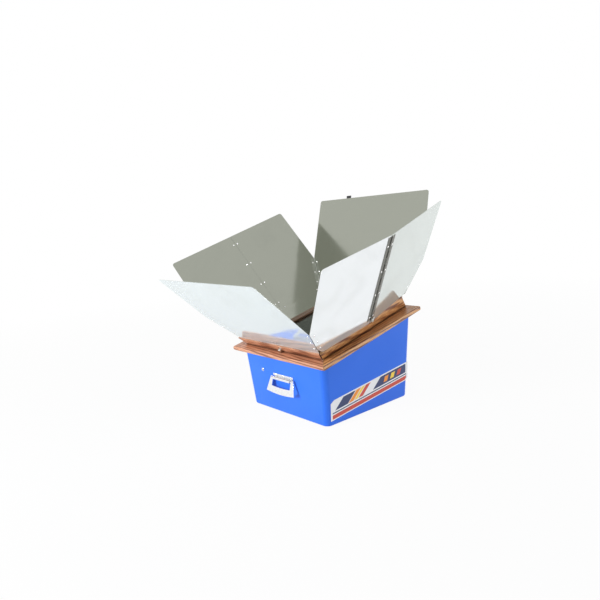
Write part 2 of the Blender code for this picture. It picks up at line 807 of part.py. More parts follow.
def petal_outline(low):
    """A whole petal across (x) and up the slope (y), before its hinge edges are cut."""
    foot = BASE_SLANT + low
    notch = BASE_SLANT + PETAL_NOTCH
    top = BASE_SLANT + PETAL_TOP
    spread = math.tan(HALF_ANGLE)
    r = PETAL_CORNER
    half = PETAL_HALF_TOP
    corner = [(half, top - r), (half - 0.3 * r, top - 0.3 * r), (half - r, top)]
    right = [(foot * spread, foot), (notch * spread, notch)] + corner
    return right + [(-x, y) for x, y in right[::-1]]


def cut_back(outline, frame, hinge, which, back):
    """Cut an outline back from a hinge axis seen in the sheet's own plane."""
    offset = hinge.frames[which].origin - frame.origin
    into = hinge.frames[which].y
    inward = (into @ frame.x, into @ frame.y)
    point = (offset @ frame.x + inward[0] * back, offset @ frame.y + inward[1] * back)
    return clip(outline, point, inward)


def sheet(name, frame, low, corners, centre=None, half=0):
    """A reflector sheet.

    corners lists (hinge, leaf, cut) for its corner hinges, centre is (hinge, leaf) of a
    side petal's middle hinge and half is -1 or 1 for one half of a side petal.
    """
    outline = petal_outline(low)
    if half:
        foot = (BASE_SLANT + low) * math.tan(HALF_ANGLE)
        outline = clip(outline, (half * CENTRE_GAP, 0.0), (half, 0.0))
        outline = clip(outline, (half * (foot - FOOT_CHAMFER), BASE_SLANT + low), (-half, 1.0))
    for hinge, which, back in corners:
        outline = cut_back(outline, frame, hinge, which, back)
    item = Shape().prism(frame, outline, -SHEET / 2, SHEET / 2).make(name)
    for hinge, which in [corner[:2] for corner in corners] + ([centre] if centre else []):
        combine(item, hinge.holes(which), "DIFFERENCE")
    return item


def build_reflectors():
    low_right = corner_hinge(LOW, 1, RIGHT_LOW, -1, 0.018)
    high_right = corner_hinge(HIGH, 1, RIGHT_HIGH, 1, 0.014)
    high_left = corner_hinge(HIGH, -1, LEFT, 1, 0.014)
    low_left = corner_hinge(LOW, -1, LEFT, -1, 0.014)
    right = centre_hinge(RIGHT_LOW, RIGHT_HIGH, RIGHT.y)
    left = centre_hinge(LEFT, LEFT, LEFT.y)
    near, apart = CORNER_CUT, OPEN_CORNER_CUT
    high = sheet("reflector_high", HIGH, HIGH_PETAL_LOW, [(high_right, 0, near), (high_left, 0, near)])
    low = sheet("reflector_low", LOW, PETAL_LOW, [(low_right, 0, near), (low_left, 0, apart)])
    sheet("reflector_right_low", RIGHT_LOW, PETAL_LOW, [(low_right, 1, near)], (right, 0), -1)
    right_high = sheet("reflector_right_high", RIGHT_HIGH, PETAL_LOW, [(high_right, 1, near)], (right, 1), 1)
    sheet("reflector_left_low", LEFT, PETAL_LOW, [(low_left, 1, apart)], (left, 0), -1)
    left_high = sheet("reflector_left_high", LEFT, PETAL_LOW, [(high_left, 1, near)], (left, 1), 1)
    for name, hinge in (("low_right", low_right), ("high_right", high_right), ("high_left", high_left)):
        hinge.leaf("hinge_%s_a" % name, 0, pin=True)
        hinge.leaf("hinge_%s_b" % name, 1)
    for which, letter in enumerate("ab"):
        low_left.leaf("hinge_low_left_" + letter, which, bore=False, gap=OPEN_KNUCKLE_GAP,
                      clear=OPEN_LEAF_CLEAR)
    for name, hinge in (("right", right), ("left", left)):
        hinge.leaf("hinge_%s_low_half" % name, 0, pin=True)
        hinge.leaf("hinge_%s_high_half" % name, 1)
    build_base_hinge(high)
    return low, right_high, left_high


def build_base_hinge(high):
    """The hinge that carries the ring on the high collar board."""
    length, count = BASE_HINGE_LENGTH, 11
    rivets = [length * share for share in (0.06, 0.28, 0.5, 0.72, 0.94)]
    start = HIGH.at(-length / 2, BASE_SLANT, -HINGE_OFFSET)
    up = Frame(start, HIGH.x, HIGH.y, -HIGH.z)
    down = Frame(start, HIGH.x, -HIGH.y, -HIGH.z)
    leaf("base_hinge_petal", up, length, count, 0, rivets, pin=True)
    leaf("base_hinge_collar", down, length, count, 1, rivets, through=False)
    holes = Shape()
    for along in rivets:
        holes.rod(up.at(along, RIVET_IN, -0.008), up.at(along, RIVET_IN, 0.004), RIVET_HOLE, 8)
    combine(high, holes, "DIFFERENCE")


# Fixings that hold the ring to the collar

def thumb_screw(name, base, axis, radius, height, stem, reach):
    """A stem that reaches back from base and a flanged head outside it."""
    fused(name, (Shape().rod(base - axis * reach, base + axis * (height * 0.5), stem, 10),
                 Shape().rod(base + axis * SEAT, base + axis * 0.0015, radius * 1.15, 14),
                 Shape().rod(base + axis * 0.0012, base + axis * height, radius, 14)))


def sheet_hole(sheet_item, spot, out):
    hole = Shape().rod(spot - out * 0.006, spot + out * 0.006, RIVET_HOLE, 8)
    combine(sheet_item, hole, "DIFFERENCE")


def build_low_fixing(low_board, low_sheet):
    """The tongue of the low petal behind its collar board and the screw that pins it."""
    t = BRACKET
    frame = Frame(LOW.at(0, BASE_SLANT, 0), LOW.z, LOW.y, LOW.x)
    face = -SHEET / 2 - LEAF_SEAT
    back = LOW_BOARD_PROUD - BOARD - TONGUE_CLEAR
    step = BOARD_TOP + TONGUE_CLEAR
    outline = [(face, step), (face, TONGUE_UP), (face - t, TONGUE_UP), (face - t, step + t),
               (back - t, step + t), (back - t, TONGUE_DOWN), (back, TONGUE_DOWN), (back, step)]
    item = Shape().prism(frame, outline, *span(LOW_SCREW_U, TONGUE_HALF)).make("low_petal_tongue")
    for u in span(LOW_SCREW_U, RIVET_IN):
        spot = LOW.at(u, BASE_SLANT + TONGUE_UP - 0.010, 0)
        combine(item, rivet(spot, -LOW.z, -face, t), "UNION")
        sheet_hole(low_sheet, spot, LOW.z)
    base = LOW.at(LOW_SCREW_U, BASE_SLANT + LOW_SCREW_S, LOW_BOARD_PROUD)
    bore = Shape().rod(base - LOW.z * (BOARD + 0.01), base + LOW.z * 0.01, 0.0034, 12)
    combine(low_board, bore, "DIFFERENCE")
    thumb_screw("thumb_screw_low", base, LOW.z, LOW_SCREW_HEAD, SCREW_HEIGHT, 0.0029, BOARD - SEAT)


def clip_screw_base(frame):
    """Where the thumb screw of a side petal's clip meets the clip."""
    return frame.at(CLIP_SCREW_X, BASE_SLANT + PETAL_LOW + CLIP_HEIGHT / 2,
                    SHEET / 2 + LEAF_SEAT + BRACKET)


def build_side_fixing(name, frame, half_sheet):
    """A clip at the foot of a side petal's centre hinge with its thumb screw."""
    face = SHEET / 2 + LEAF_SEAT
    foot = BASE_SLANT + PETAL_LOW
    item = Shape().box(frame, (CLIP_IN, CLIP_OUT), (foot + 0.0012, foot + CLIP_HEIGHT),
                       (face, face + BRACKET)).make("clip_" + name)
    spot = frame.at(CLIP_RIVET_X, foot + CLIP_HEIGHT / 2, 0)
    combine(item, rivet(spot, frame.z, face, BRACKET), "UNION")
    sheet_hole(half_sheet, spot, frame.z)
    base = clip_screw_base(frame)
    bore = Shape().rod(base - frame.z * (BRACKET + LEAF_SEAT * 0.5), base + frame.z * 0.003, 0.0029, 12)
    combine(item, bore, "DIFFERENCE")
    thumb_screw("thumb_screw_" + name, base, frame.z, CLIP_SCREW_HEAD, CLIP_SCREW_HEIGHT, 0.0025,
                BRACKET * 0.9)


def build_strap():
    """The closing strap on the back of the high petal, its end above the petal's edge."""
    face = SHEET / 2 + LEAF_SEAT
    end = BASE_SLANT + PETAL_TOP + STRAP_ABOVE
    start = end - STRAP_LENGTH
    item = Shape().box(HIGH, span(STRAP_U, STRAP_HALF), (start, end),
                       (face, face + STRAP_THICK)).make("closing_strap")
    snaps = Shape()
    for up in (start + 2 * STRAP_SNAP, end - 4 * STRAP_SNAP):
        spot = HIGH.at(STRAP_U, up, face + STRAP_THICK)
        snaps.rod(spot - HIGH.z * 0.001, spot + HIGH.z * 0.002, STRAP_SNAP, 12)
    combine(item, snaps, "UNION")


# Fittings on the case's drafted walls

def wall_frame(y, draft, across):
    """A frame on a drafted wall: x across it, y up it and z out of it."""
    up = unit(vec(0, draft, 1))
    return Frame((0, y, 0), across, up, np.cross(across, up))


FRONT = wall_frame(BASE_FRONT_Y, -FRONT_DRAFT, WORLD_X)
BACK = wall_frame(BASE_BACK_Y, BACK_DRAFT, -WORLD_X)
HANDLE_AXIS = FRONT.at(HANDLE_X, HANDLE_UP, HANDLE_AXIS_OUT)


def wall_screws(frame, spots, thickness):
    """Round screw heads on a plate against a wall."""
    heads = Shape()
    for x, up in spots:
        spot = frame.at(x, up, SEAT + thickness * 0.6)
        heads.rod(spot, spot + frame.z * SCREW_RISE, SCREW_HEAD, 8)
    return heads


def build_handle_plate():
    """The chrome plate on the wall with the barrel in which the bail turns."""
    plate = Shape().box(FRONT, span(HANDLE_X, PLATE_HALF), (HANDLE_UP + PLATE_LOW, HANDLE_UP + PLATE_HIGH),
                        (SEAT, SEAT + PLATE_THICK)).make("handle_plate")
    side = FRONT.x * BARREL_HALF
    combine(plate, Shape().rod(HANDLE_AXIS - side, HANDLE_AXIS + side, BARREL_RADIUS, 14), "UNION")
    screw_up = HANDLE_UP + (BARREL_RADIUS + PLATE_HIGH) / 2
    spots = [(HANDLE_X + x, screw_up) for x in (-0.040, 0.0, 0.040)]
    combine(plate, wall_screws(FRONT, spots, PLATE_THICK), "UNION")
    side = FRONT.x * (PLATE_HALF + 0.01)
    bore = Shape().rod(HANDLE_AXIS - side, HANDLE_AXIS + side, HANDLE_ROD + 0.0005, 12)
    combine(plate, bore, "DIFFERENCE")


def bail_edge(half, low, sag, steps=4):
    """Points from left to right along a lower edge that bows down in the middle."""
    xs = [half * (2 * i / steps - 1) for i in range(steps + 1)]
    return [(x, low - sag * (1 - (x / half) ** 2)) for x in xs]


def build_bail():
    """A flared pressed bail: a raked front plate with a window and a return on each side."""
    rake = HANDLE_RAKE
    grip = Frame(HANDLE_AXIS, FRONT.x, turned(FRONT.y, FRONT.x, -rake), turned(FRONT.z, FRONT.x, -rake))
    crown = HANDLE_ROD + 0.002
    outline = bail_edge(HANDLE_LOW_HALF, -HANDLE_DROP, HANDLE_SAG)
    outline += [(HANDLE_TOP_HALF, crown), (-HANDLE_TOP_HALF, crown)]
    t = HANDLE_SHEET / 2
    bail = Shape().prism(grip, outline, -t, t).make("handle_bail")
    window = bail_edge(HANDLE_WINDOW_HALF, HANDLE_WINDOW_LOW, HANDLE_WINDOW_SAG)
    window += [(HANDLE_WINDOW_HALF, 2 * crown), (-HANDLE_WINDOW_HALF, 2 * crown)]
    combine(bail, Shape().prism(grip, window, -2 * t, 2 * t), "DIFFERENCE")
    drop = HANDLE_DROP * math.cos(rake)
    depth = HANDLE_DROP * math.sin(rake)
    wall = -HANDLE_AXIS_OUT + 0.0012
    profile = [(0.0, crown * 0.6), (depth, -drop), (wall, -drop + 0.004), (wall + 0.003, crown * 0.6)]
    for sign in (-1, 1):
        flare = Frame(HANDLE_AXIS + FRONT.x * sign * HANDLE_TOP_HALF, FRONT.z,
                      FRONT.y * HANDLE_DROP - FRONT.x * sign * (HANDLE_LOW_HALF - HANDLE_TOP_HALF),
                      FRONT.x * sign)
        combine(bail, Shape().prism(flare, profile, -HANDLE_SHEET, -0.0002), "UNION")
    side = FRONT.x * (HANDLE_TOP_HALF - 0.001)
    combine(bail, Shape().rod(HANDLE_AXIS - side, HANDLE_AXIS + side, HANDLE_ROD, 12), "UNION")


def build_stud():
    spot = FRONT.at(STUD_X, STUD_UP, SEAT)
    fused("snap_stud", (Shape().rod(spot, spot + FRONT.z * 0.0015, 0.0068, 12),
                        Shape().rod(spot + FRONT.z * 0.001, spot + FRONT.z * 0.0040, 0.0036, 12)))


def build_leg():
    """A sliding leg in a channel on the high wall that tips the oven toward the sun."""
    c = CHANNEL_SHEET
    inner = LEG_WIDE + LEG_SIDE_ROOM
    deep = SEAT + LEG_THICK + LEG_FACE_ROOM
    lip = inner + c + CHANNEL_LIP
    half = [(lip, SEAT), (lip, SEAT + c), (inner + c, SEAT + c), (inner + c, deep + c)]
    outline = [(-x, z) for x, z in half] + half[::-1]
    outline += [(inner, SEAT), (inner, deep), (-inner, deep), (-inner, SEAT)]
    frame = Frame(BACK.origin, BACK.x, BACK.z, -BACK.y)
    channel = Shape().prism(frame, outline, -CHANNEL_HIGH, -CHANNEL_LOW).make("leg_channel")
    rows = [CHANNEL_LOW + (CHANNEL_HIGH - CHANNEL_LOW) * share for share in (0.08, 0.5, 0.92)]
    spots = [(side * (inner + c + CHANNEL_LIP * 0.4), up) for up in rows for side in (-1, 1)]
    combine(channel, wall_screws(BACK, spots, c), "UNION")
    out = BACK.z
    hole = BACK.at(0, LEG_HOLE_UP, deep)
    combine(channel, Shape().rod(hole - out * 0.0005, hole + out * 0.004, 0.0034, 12), "DIFFERENCE")
    near, far = SEAT + LEG_FACE_ROOM / 2, SEAT + LEG_FACE_ROOM / 2 + LEG_THICK
    leg = Shape().box(BACK, (-LEG_WIDE, LEG_WIDE), (LEG_LOW, LEG_HIGH), (near, far)).make("leg_bar")
    holes = Shape()
    for i in range(LEG_HOLES):
        spot = BACK.at(0, LEG_HOLE_UP + LEG_HOLE_PITCH * i, far)
        holes.rod(spot - out * 0.004, spot + out * 0.002, PLUNGER_PIN + SEAT, 8)
    combine(leg, holes, "DIFFERENCE")
    foot = Shape().box(BACK, span(0.0, LEG_WIDE + FOOT_WALL), (0.002, FOOT_TOP),
                       (SEAT, far + FOOT_WALL)).make("leg_foot")
    socket = Shape().box(BACK, span(0.0, LEG_WIDE + SEAT), (LEG_LOW - SEAT, FOOT_TOP + 0.008),
                         (near - SEAT, far + SEAT))
    combine(foot, socket, "DIFFERENCE")
    base = BACK.at(0, LEG_HOLE_UP, deep + c)
    tip = BACK.at(0, LEG_HOLE_UP, far + SEAT)
    fused("leg_plunger", (Shape().rod(tip, base + out * 0.012, PLUNGER_PIN, 10),
                          Shape().rod(base + out * SEAT, base + out * 0.004, PLUNGER_COLLAR, 12),
                          Shape().rod(base + out * 0.0065, base + out * 0.013, PLUNGER_KNOB, 14)))


def build_latches():
    """Two turn buttons that close over the low rail of the door."""
    for name, u in (("left", -LATCH_U), ("right", LATCH_U)):
        post = Frame(MOUTH.at(u, DOOR_FRONT_V - LATCH_OUT, 0.0), MOUTH.x, MOUTH.y, MOUTH.z)
        under = DOOR_TOP + 2 * SEAT
        fused("door_latch_" + name,
              (Shape().rod(post.at(0, 0, FLANGE_TOP + SEAT), post.at(0, 0, under + 0.0003), LATCH_POST, 12),
               Shape().box(post, (-LATCH_ARM, LATCH_TAIL), span(0.0, LATCH_HALF), (under, under + 0.0028)),
               Shape().rod(post.at(0, 0, under + 0.0011), post.at(0, 0, under + 0.0043), 0.0034)))


def build_door_hinge():
    """A piano hinge between the door's high rail and the high collar board."""
    length, count = DOOR_HINGE_LENGTH, 9
    start = MOUTH.at(-length / 2, DOOR_HINGE_V, DOOR_HINGE_N)
    reach = DOOR_HINGE_V - DOOR_BACK_V + DOOR_LEAF_ON
    frame = Frame(start, MOUTH.x, -MOUTH.y, MOUTH.z)
    face = DOOR_TOP + LEAF_SEAT - DOOR_HINGE_N
    item = Shape().prism(frame, comb(length, reach, count, 0), face, face + LEAF).make("door_hinge_door")
    add_barrel(item, frame, length, count, 0, pin=True)
    for along in [length * share for share in (0.08, 0.36, 0.64, 0.92)]:
        combine(item, rivet(frame.at(along, reach - 0.008, 0), frame.z, face, LEAF, False), "UNION")
    wall = Frame(start, MOUTH.x, HIGH.y, -HIGH.z)
    gap = (start - HIGH.at(0, 0, -SHEET / 2 - SEAT)) @ HIGH.z
    teeth = comb(length, DOOR_LEAF_WALL, count, 1)
    root = Shape().prism(wall, teeth, gap, gap + LEAF).make("door_hinge_collar")
    knuckles, webs = Shape(), Shape()
    for a, b in knuckle_spans(length, count, 1, KNUCKLE_GAP):
        knuckles.rod(frame.at(a, 0, 0), frame.at(b, 0, 0), KNUCKLE_RADIUS, KNUCKLE_SIDES)
        webs.box(wall, (a + 0.0007, b - 0.0007), (0.0002, 0.0012), (gap + LEAF * 0.5, -0.001))
    combine(root, knuckles, "UNION")
    combine(root, webs, "UNION")
    bore = Shape().rod(frame.at(-0.001, 0, 0), frame.at(length + 0.001, 0, 0), BORE_RADIUS, 6)
    combine(root, bore, "DIFFERENCE")
    for along in [length * share for share in (0.10, 0.37, 0.63, 0.90)]:
        combine(root, rivet(wall.at(along, 0.0095, 0), wall.z, gap, LEAF, False), "UNION")


def build_rack():
    """A swinging wire shelf that hangs from two pins and stays level as the oven tips."""
    hang = Frame(MOUTH.at(0, 0, RACK_PIVOT_N), (1, 0, 0), (0, 1, 0), (0, 0, 1))
    bar, wire = RACK_BAR, RACK_WIRE
    shapes = []
    for side in (-1, 1):
        shapes.append(Shape().box(hang, span(side * RACK_HALF_X, bar), span(0.0, RACK_HALF_Y),
                                  span(-RACK_DROP, bar)))
    for side in (-1, 1):
        shapes.append(Shape().box(hang, span(0.0, RACK_HALF_X + bar * 0.5),
                                  (side * (RACK_HALF_Y - 2 * bar), side * (RACK_HALF_Y - 0.0002)),
                                  span(-RACK_DROP, bar * 0.9)))
    count = int((RACK_HALF_Y - 2 * bar) / RACK_WIRE_PITCH)
    for i in range(-count + 1, count):
        shapes.append(Shape().box(hang, span(0.0, RACK_HALF_X), span(i * RACK_WIRE_PITCH, wire),
                                  span(-RACK_DROP, wire)))
    side_view = Frame(hang.origin, hang.y, hang.z, hang.x)
    ear = [(-RACK_EAR_FOOT, -RACK_DROP), (RACK_EAR_FOOT, -RACK_DROP), (RACK_EAR_TOP, 0.008),
           (-RACK_EAR_TOP, 0.008)]
    hole = [(-RACK_EAR_FOOT + 0.018, -RACK_DROP + 0.008), (RACK_EAR_FOOT - 0.018, -RACK_DROP + 0.008),
            (RACK_EAR_TOP - 0.003, -0.010), (-RACK_EAR_TOP + 0.003, -0.010)]
    windows = Shape()
    for side in (-1, 1):
        shapes.append(Shape().prism(side_view, ear, side * (RACK_HALF_X - 0.001),
                                    side * (RACK_HALF_X + 0.0008)))
        shapes.append(Shape().rod(hang.at(side * (RACK_HALF_X - 0.002), 0, 0),
                                  hang.at(side * (HANGER_FACE + 0.006), 0, 0), RACK_PIN))
        windows.prism(side_view, hole, *span(side * RACK_HALF_X, 0.006))
    combine(fused("swing_rack", shapes), windows, "DIFFERENCE")


# Finish, and which piece hangs on which joint

def finish_pieces():
    """Give every piece its own material and smooth its round faces."""
    for item in [item for item in bpy.data.objects if item.type == "MESH"]:
        finish = next(kind for start, kind in FINISH_OF.items() if item.name.startswith(start))
        colour, roughness, metallic = FINISHES[finish]
        material = bpy.data.materials.new(item.name)
        material.use_nodes = True
        shader = material.node_tree.nodes["Principled BSDF"]
        shader.inputs["Base Color"].default_value = (*colour, 1.0)
        shader.inputs["Roughness"].default_value = roughness
        shader.inputs["Metallic"].default_value = metallic
        item.data.materials.clear()
        item.data.materials.append(material)
        item.data.shade_smooth()
        item.data.set_sharp_from_angle(angle=SMOOTH_ANGLE)


class Pivot:
    """An empty on a joint's axis, or on a wall, that carries pieces and further pivots."""

    def __init__(self, name, frame, pieces, parent=None):
        self.place = frame.matrix()
        self.empty = bpy.data.objects.new(name, None)
        self.empty.empty_display_size = 0.04
        bpy.context.scene.collection.objects.link(self.empty)
        if parent:
            self.empty.parent = parent.empty
            self.empty.matrix_basis = parent.place.inverted() @ self.place
        else:
            self.empty.matrix_basis = self.place
        for piece in pieces.split():
            item = bpy.data.objects[piece]
            item.data.transform(self.place.inverted())
            item.parent = self.empty


def assemble():
    """Hang every piece on the frame or the joint that carries it."""
    Pivot("mouth", MOUTH, "flange_low flange_right flange_high flange_left collar_low collar_right "
          "collar_left collar_high collar_lining_right collar_lining_left door_gasket "
          "base_hinge_collar door_hinge_collar oven_liner")
    Pivot("low_wall", FRONT, "handle_plate snap_stud")
    high_wall = Pivot("high_wall", BACK, "leg_channel")
    Pivot("door_pivot", axis_frame(MOUTH.at(0, DOOR_HINGE_V, DOOR_HINGE_N), -WORLD_X),
          "door_rail_low door_rail_high door_stile_left door_stile_right door_glass door_hinge_door")
    for name, u in (("left", -LATCH_U), ("right", LATCH_U)):
        post = MOUTH.at(u, DOOR_FRONT_V - LATCH_OUT, DOOR_TOP)
        Pivot("latch_pivot_" + name, axis_frame(post, MOUTH.z), "door_latch_" + name)
    Pivot("handle_pivot", axis_frame(HANDLE_AXIS, WORLD_X), "handle_bail")
    Pivot("leg_slide", BACK, "leg_bar leg_foot", high_wall)
    Pivot("plunger_slide", axis_frame(BACK.at(0, LEG_HOLE_UP, 0), BACK.z), "leg_plunger", high_wall)
    Pivot("shelf_pivot", axis_frame(MOUTH.at(0, 0, RACK_PIVOT_N), WORLD_X), "swing_rack")
    screw = LOW.at(LOW_SCREW_U, BASE_SLANT + LOW_SCREW_S, LOW_BOARD_PROUD)
    Pivot("low_screw_pivot", axis_frame(screw, LOW.z), "thumb_screw_low")
    tilt = Pivot("ring_pivot", axis_frame(HIGH.at(0, BASE_SLANT, -HINGE_OFFSET), WORLD_X),
                 "reflector_high base_hinge_petal hinge_high_right_a hinge_high_left_a closing_strap")
    right = Pivot("right_petal_pivot", axis_frame(*hinge_axis(HIGH, RIGHT_HIGH, -1, corner_line(HIGH, 1))),
                  "reflector_right_high hinge_high_right_b hinge_right_high_half clip_right", tilt)
    right_low = Pivot("right_centre_pivot", axis_frame(*hinge_axis(RIGHT_LOW, RIGHT_HIGH, 1, RIGHT.y)),
                      "reflector_right_low hinge_right_low_half hinge_low_right_b", right)
    Pivot("low_petal_pivot", axis_frame(*hinge_axis(RIGHT_LOW, LOW, -1, corner_line(LOW, 1))),
          "reflector_low hinge_low_right_a hinge_low_left_a low_petal_tongue", right_low)
    left = Pivot("left_petal_pivot", axis_frame(*hinge_axis(HIGH, LEFT, -1, corner_line(HIGH, -1))),
                 "reflector_left_high hinge_high_left_b hinge_left_high_half clip_left", tilt)
    Pivot("left_centre_pivot", axis_frame(*hinge_axis(LEFT, LEFT, 1, LEFT.y)),
          "reflector_left_low hinge_left_low_half hinge_low_left_b", left)
    for name, frame, petal in (("right", RIGHT_HIGH, right), ("left", LEFT, left)):
        Pivot(name + "_screw_pivot", axis_frame(clip_screw_base(frame), frame.z),
              "thumb_screw_" + name, petal)


def clear_scene():
    for item in list(bpy.data.objects):
        bpy.data.objects.remove(item, do_unlink=True)


def main():
    clear_scene()
    build_case()
    build_liner()
    build_insulation()
    build_flange()
    build_gasket()
    build_door()
    build_door_hinge()
    low_board = build_collar()
    low_sheet, right_high, left_high = build_reflectors()
    build_low_fixing(low_board, low_sheet)
    build_side_fixing("right", RIGHT_HIGH, right_high)
    build_side_fixing("left", LEFT, left_high)
    build_strap()
    build_handle_plate()
    build_bail()
    build_stud()
    build_leg()
    build_latches()
    build_rack()
    finish_pieces()
    assemble()


main()
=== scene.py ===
"""Looks of the solar oven: materials, trim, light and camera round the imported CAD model.

Everything is in metres in the frame of the CAD model: the origin is the middle of the
case's base, +Z is up, -Y is the low side with the handle and +X is the labelled side.
The case's mouth has its own coordinates: u across, v up its slope and n off its plane.
"""
import json
import math

import bmesh
import bpy
from mathutils import Matrix, Vector


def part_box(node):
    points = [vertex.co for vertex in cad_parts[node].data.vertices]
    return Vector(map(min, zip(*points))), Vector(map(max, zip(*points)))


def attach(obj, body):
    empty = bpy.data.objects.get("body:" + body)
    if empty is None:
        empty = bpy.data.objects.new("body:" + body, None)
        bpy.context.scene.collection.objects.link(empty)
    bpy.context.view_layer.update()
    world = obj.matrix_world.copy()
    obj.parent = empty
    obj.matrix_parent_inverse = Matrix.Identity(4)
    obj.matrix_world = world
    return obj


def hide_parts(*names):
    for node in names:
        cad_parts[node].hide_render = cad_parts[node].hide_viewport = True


# The camera of the photograph
CAMERA_AZIMUTH = math.radians(50.29)
CAMERA_ELEVATION = math.radians(8.55)
CAMERA_ROLL = math.radians(-4.51)
CAMERA_DISTANCE = 1.9334
CAMERA_TARGET = Vector((-0.0535, -0.0602, 0.3681))
CAMERA_FOCAL_PIXELS = 547.9
CAMERA_NEAR = 0.05
CAMERA_FAR = 60.0
IMAGE_PIXELS = 600
SENSOR = 36.0

# Lamps: name, place, what they point at, width and power in watts
LAMPS = (
    ("key", (-0.56, -3.17, 0.99), (0.0, 0.0, 0.25), 1.2, 98.0),
    ("fill", (2.43, 1.70, 0.72), (0.0, 0.0, 0.30), 1.6, 42.0),
)
SKY_COLOUR = (0.92, 0.96, 1.0, 1.0)
SKY_STRENGTH = 0.34
WHITE = (1.0, 1.0, 1.0, 1.0)

# The floor keeps its shadow near the oven and fades to white far from it
FLOOR_HALF = 9.0
FLOOR_LEVEL = -0.0006
FLOOR_PAINT = (0.86, 0.86, 0.86, 1.0)
FLOOR_FADE = (0.8, 3.5)
FLOOR_WHITENESS = (0.95, 1.0)

# Places that the CAD model fixes
MOUTH_TILT = math.radians(12.8)
MOUTH_HEIGHT = 0.260
SIDE_DRAFT = 0.0708
FRONT_DRAFT = 0.0681
BACK_DRAFT = 0.0574
BASE_HALF_X = 0.197
BASE_FRONT_Y = -0.1966
BASE_BACK_Y = 0.1949
RING_LEAN = math.radians(3.81)
CONE = math.radians(30.33)
RING_FOOT_HALF = 0.2118
RING_MIDDLE_V = -0.0057
RING_MIDDLE_N = 0.0452
BASE_SLANT = RING_FOOT_HALF / math.sin(CONE)
SHEET_FACE = 0.0006

# Moulded case: its corners, wall, rim below the mouth's plane and rolled foot
CASE_RADIUS = 0.022
CASE_CORNER_STEPS = 14
CASE_WALL = 0.003
CASE_RIM = -0.0083
FOOT_TALL = 0.006
FOOT_INSET = FOOT_TALL * 0.8
FOOT_STEPS = 5

# Bulb seal under the door
GASKET_OUT = 0.1585
GASKET_WIDTH = 0.008
GASKET_LOW = 0.0072
GASKET_HIGH = 0.0101
GASKET_RADIUS = 0.020
GASKET_SIDES = 12
GASKET_CORNER_STEPS = 8

# Label on the right wall: its field rises to the back
LABEL_FRONT = -0.182
LABEL_BACK = 0.193
LABEL_LOW_FRONT = 0.016
LABEL_LOW_BACK = 0.060
LABEL_TALL = 0.066
LABEL_LIFT = 0.00015
LABEL_FILM = LABEL_LIFT * 0.6
LABEL_SLANT = 0.10

# Edge of the linings, as corners (u, v, n) of the right board's inner face
LIP_CORNERS = ((0.2063, -0.2096, 0.0441), (0.2063, 0.1756, 0.0698), (0.1839, -0.1846, 0.0073))
LIP_TALL = 0.004
LIP_END_GAP = 0.001
LIP_DEPTHS = (0.00002, 0.00024)

# Rivets of the hinges in the solids, six-sided, and the round heads put over them
RIVET_HEAD = 0.0026
RIVET_CROWN = RIVET_HEAD * 0.6
RIVET_CORNERS = 6
RIVET_LENGTH_SLACK = 0.004
RIVET_ROUND_SLACK = 0.03
RIVET_OFF_AXIS = 0.0004
RIVET_THROUGH = 0.0015
RIVET_RISE = 0.0007
RIVET_TAIL_SINK = 0.0005
RIVET_WIDE = 0.0031
RIVET_TALL = 0.0011
RIVET_SIDES = 14
RIVET_PROFILE = ((1.0, 0.0), (1.0, 0.5), (0.95, 0.8), (0.84, 1.0))
BODY_NODES = {
    "high petal": ("hinge_high_right_a", "hinge_high_left_a"),
    "right petal high half": ("hinge_high_right_b", "hinge_right_high_half"),
    "right petal low half": ("hinge_low_right_b", "hinge_right_low_half"),
    "low petal": ("hinge_low_right_a", "hinge_low_left_a"),
    "left petal high half": ("hinge_high_left_b", "hinge_left_high_half"),
    "left petal low half": ("hinge_low_left_b", "hinge_left_low_half"),
}

# Strap on the back of the high petal, with its places measured up the petal from the apex
STRAP_U = -0.111
STRAP_HALF = 0.0125
STRAP_THICK = 0.0020
STRAP_HIGH = BASE_SLANT + 0.3712
STRAP_LOW = STRAP_HIGH - 0.1362
STRAP_ROWS = 28
STRAP_SIDES = 16
STRAP_GAP = 0.0002
STRAP_INSET = 0.0002
STRAP_END_STEEPNESS = 12.0
STRAP_END_THICKNESS = 0.55
WEAVE_DEPTH = 0.00006
WEAVE_RATE = 40.0
STITCH_COLUMNS = (-0.75 * STRAP_HALF, 0.75 * STRAP_HALF)
STITCH_COUNT = 26
STITCH_FIRST = 0.006
STITCH_PITCH = 0.0048
STITCH_HALVES = (0.00035, 0.0015, 0.00022, 1.0)
SNAP_PLACES = (STRAP_LOW + 0.0124, STRAP_HIGH - 0.0248)
SNAP_PROFILE = ((0.0, 0.0060), (0.0009, 0.0060), (0.0014, 0.0052), (0.0016, 0.0036),
                (0.0011, 0.0024), (0.0011, 0.0))

# Snap stud on the case and thumb screws, whose heads have the depths given here
STUD_SINK = 0.0003
STUD_PROFILE = ((0.0, 0.0066), (0.0007, 0.0066), (0.0012, 0.0058), (0.0010, 0.0040),
                (0.0012, 0.0032), (0.0022, 0.0029), (0.0030, 0.0034), (0.0036, 0.0032),
                (0.0040, 0.0020))
SCREW_HEADS = (("low", 0.009), ("right", 0.0044), ("left", 0.0044))
SCREW_THINNEST = 0.001
SCREW_COLLAR = 0.0015
SCREW_EDGE = 0.00035
SCREW_DISH = 0.0003
SCREW_SIDES = 36
SCREW_FLUTE = 0.00022

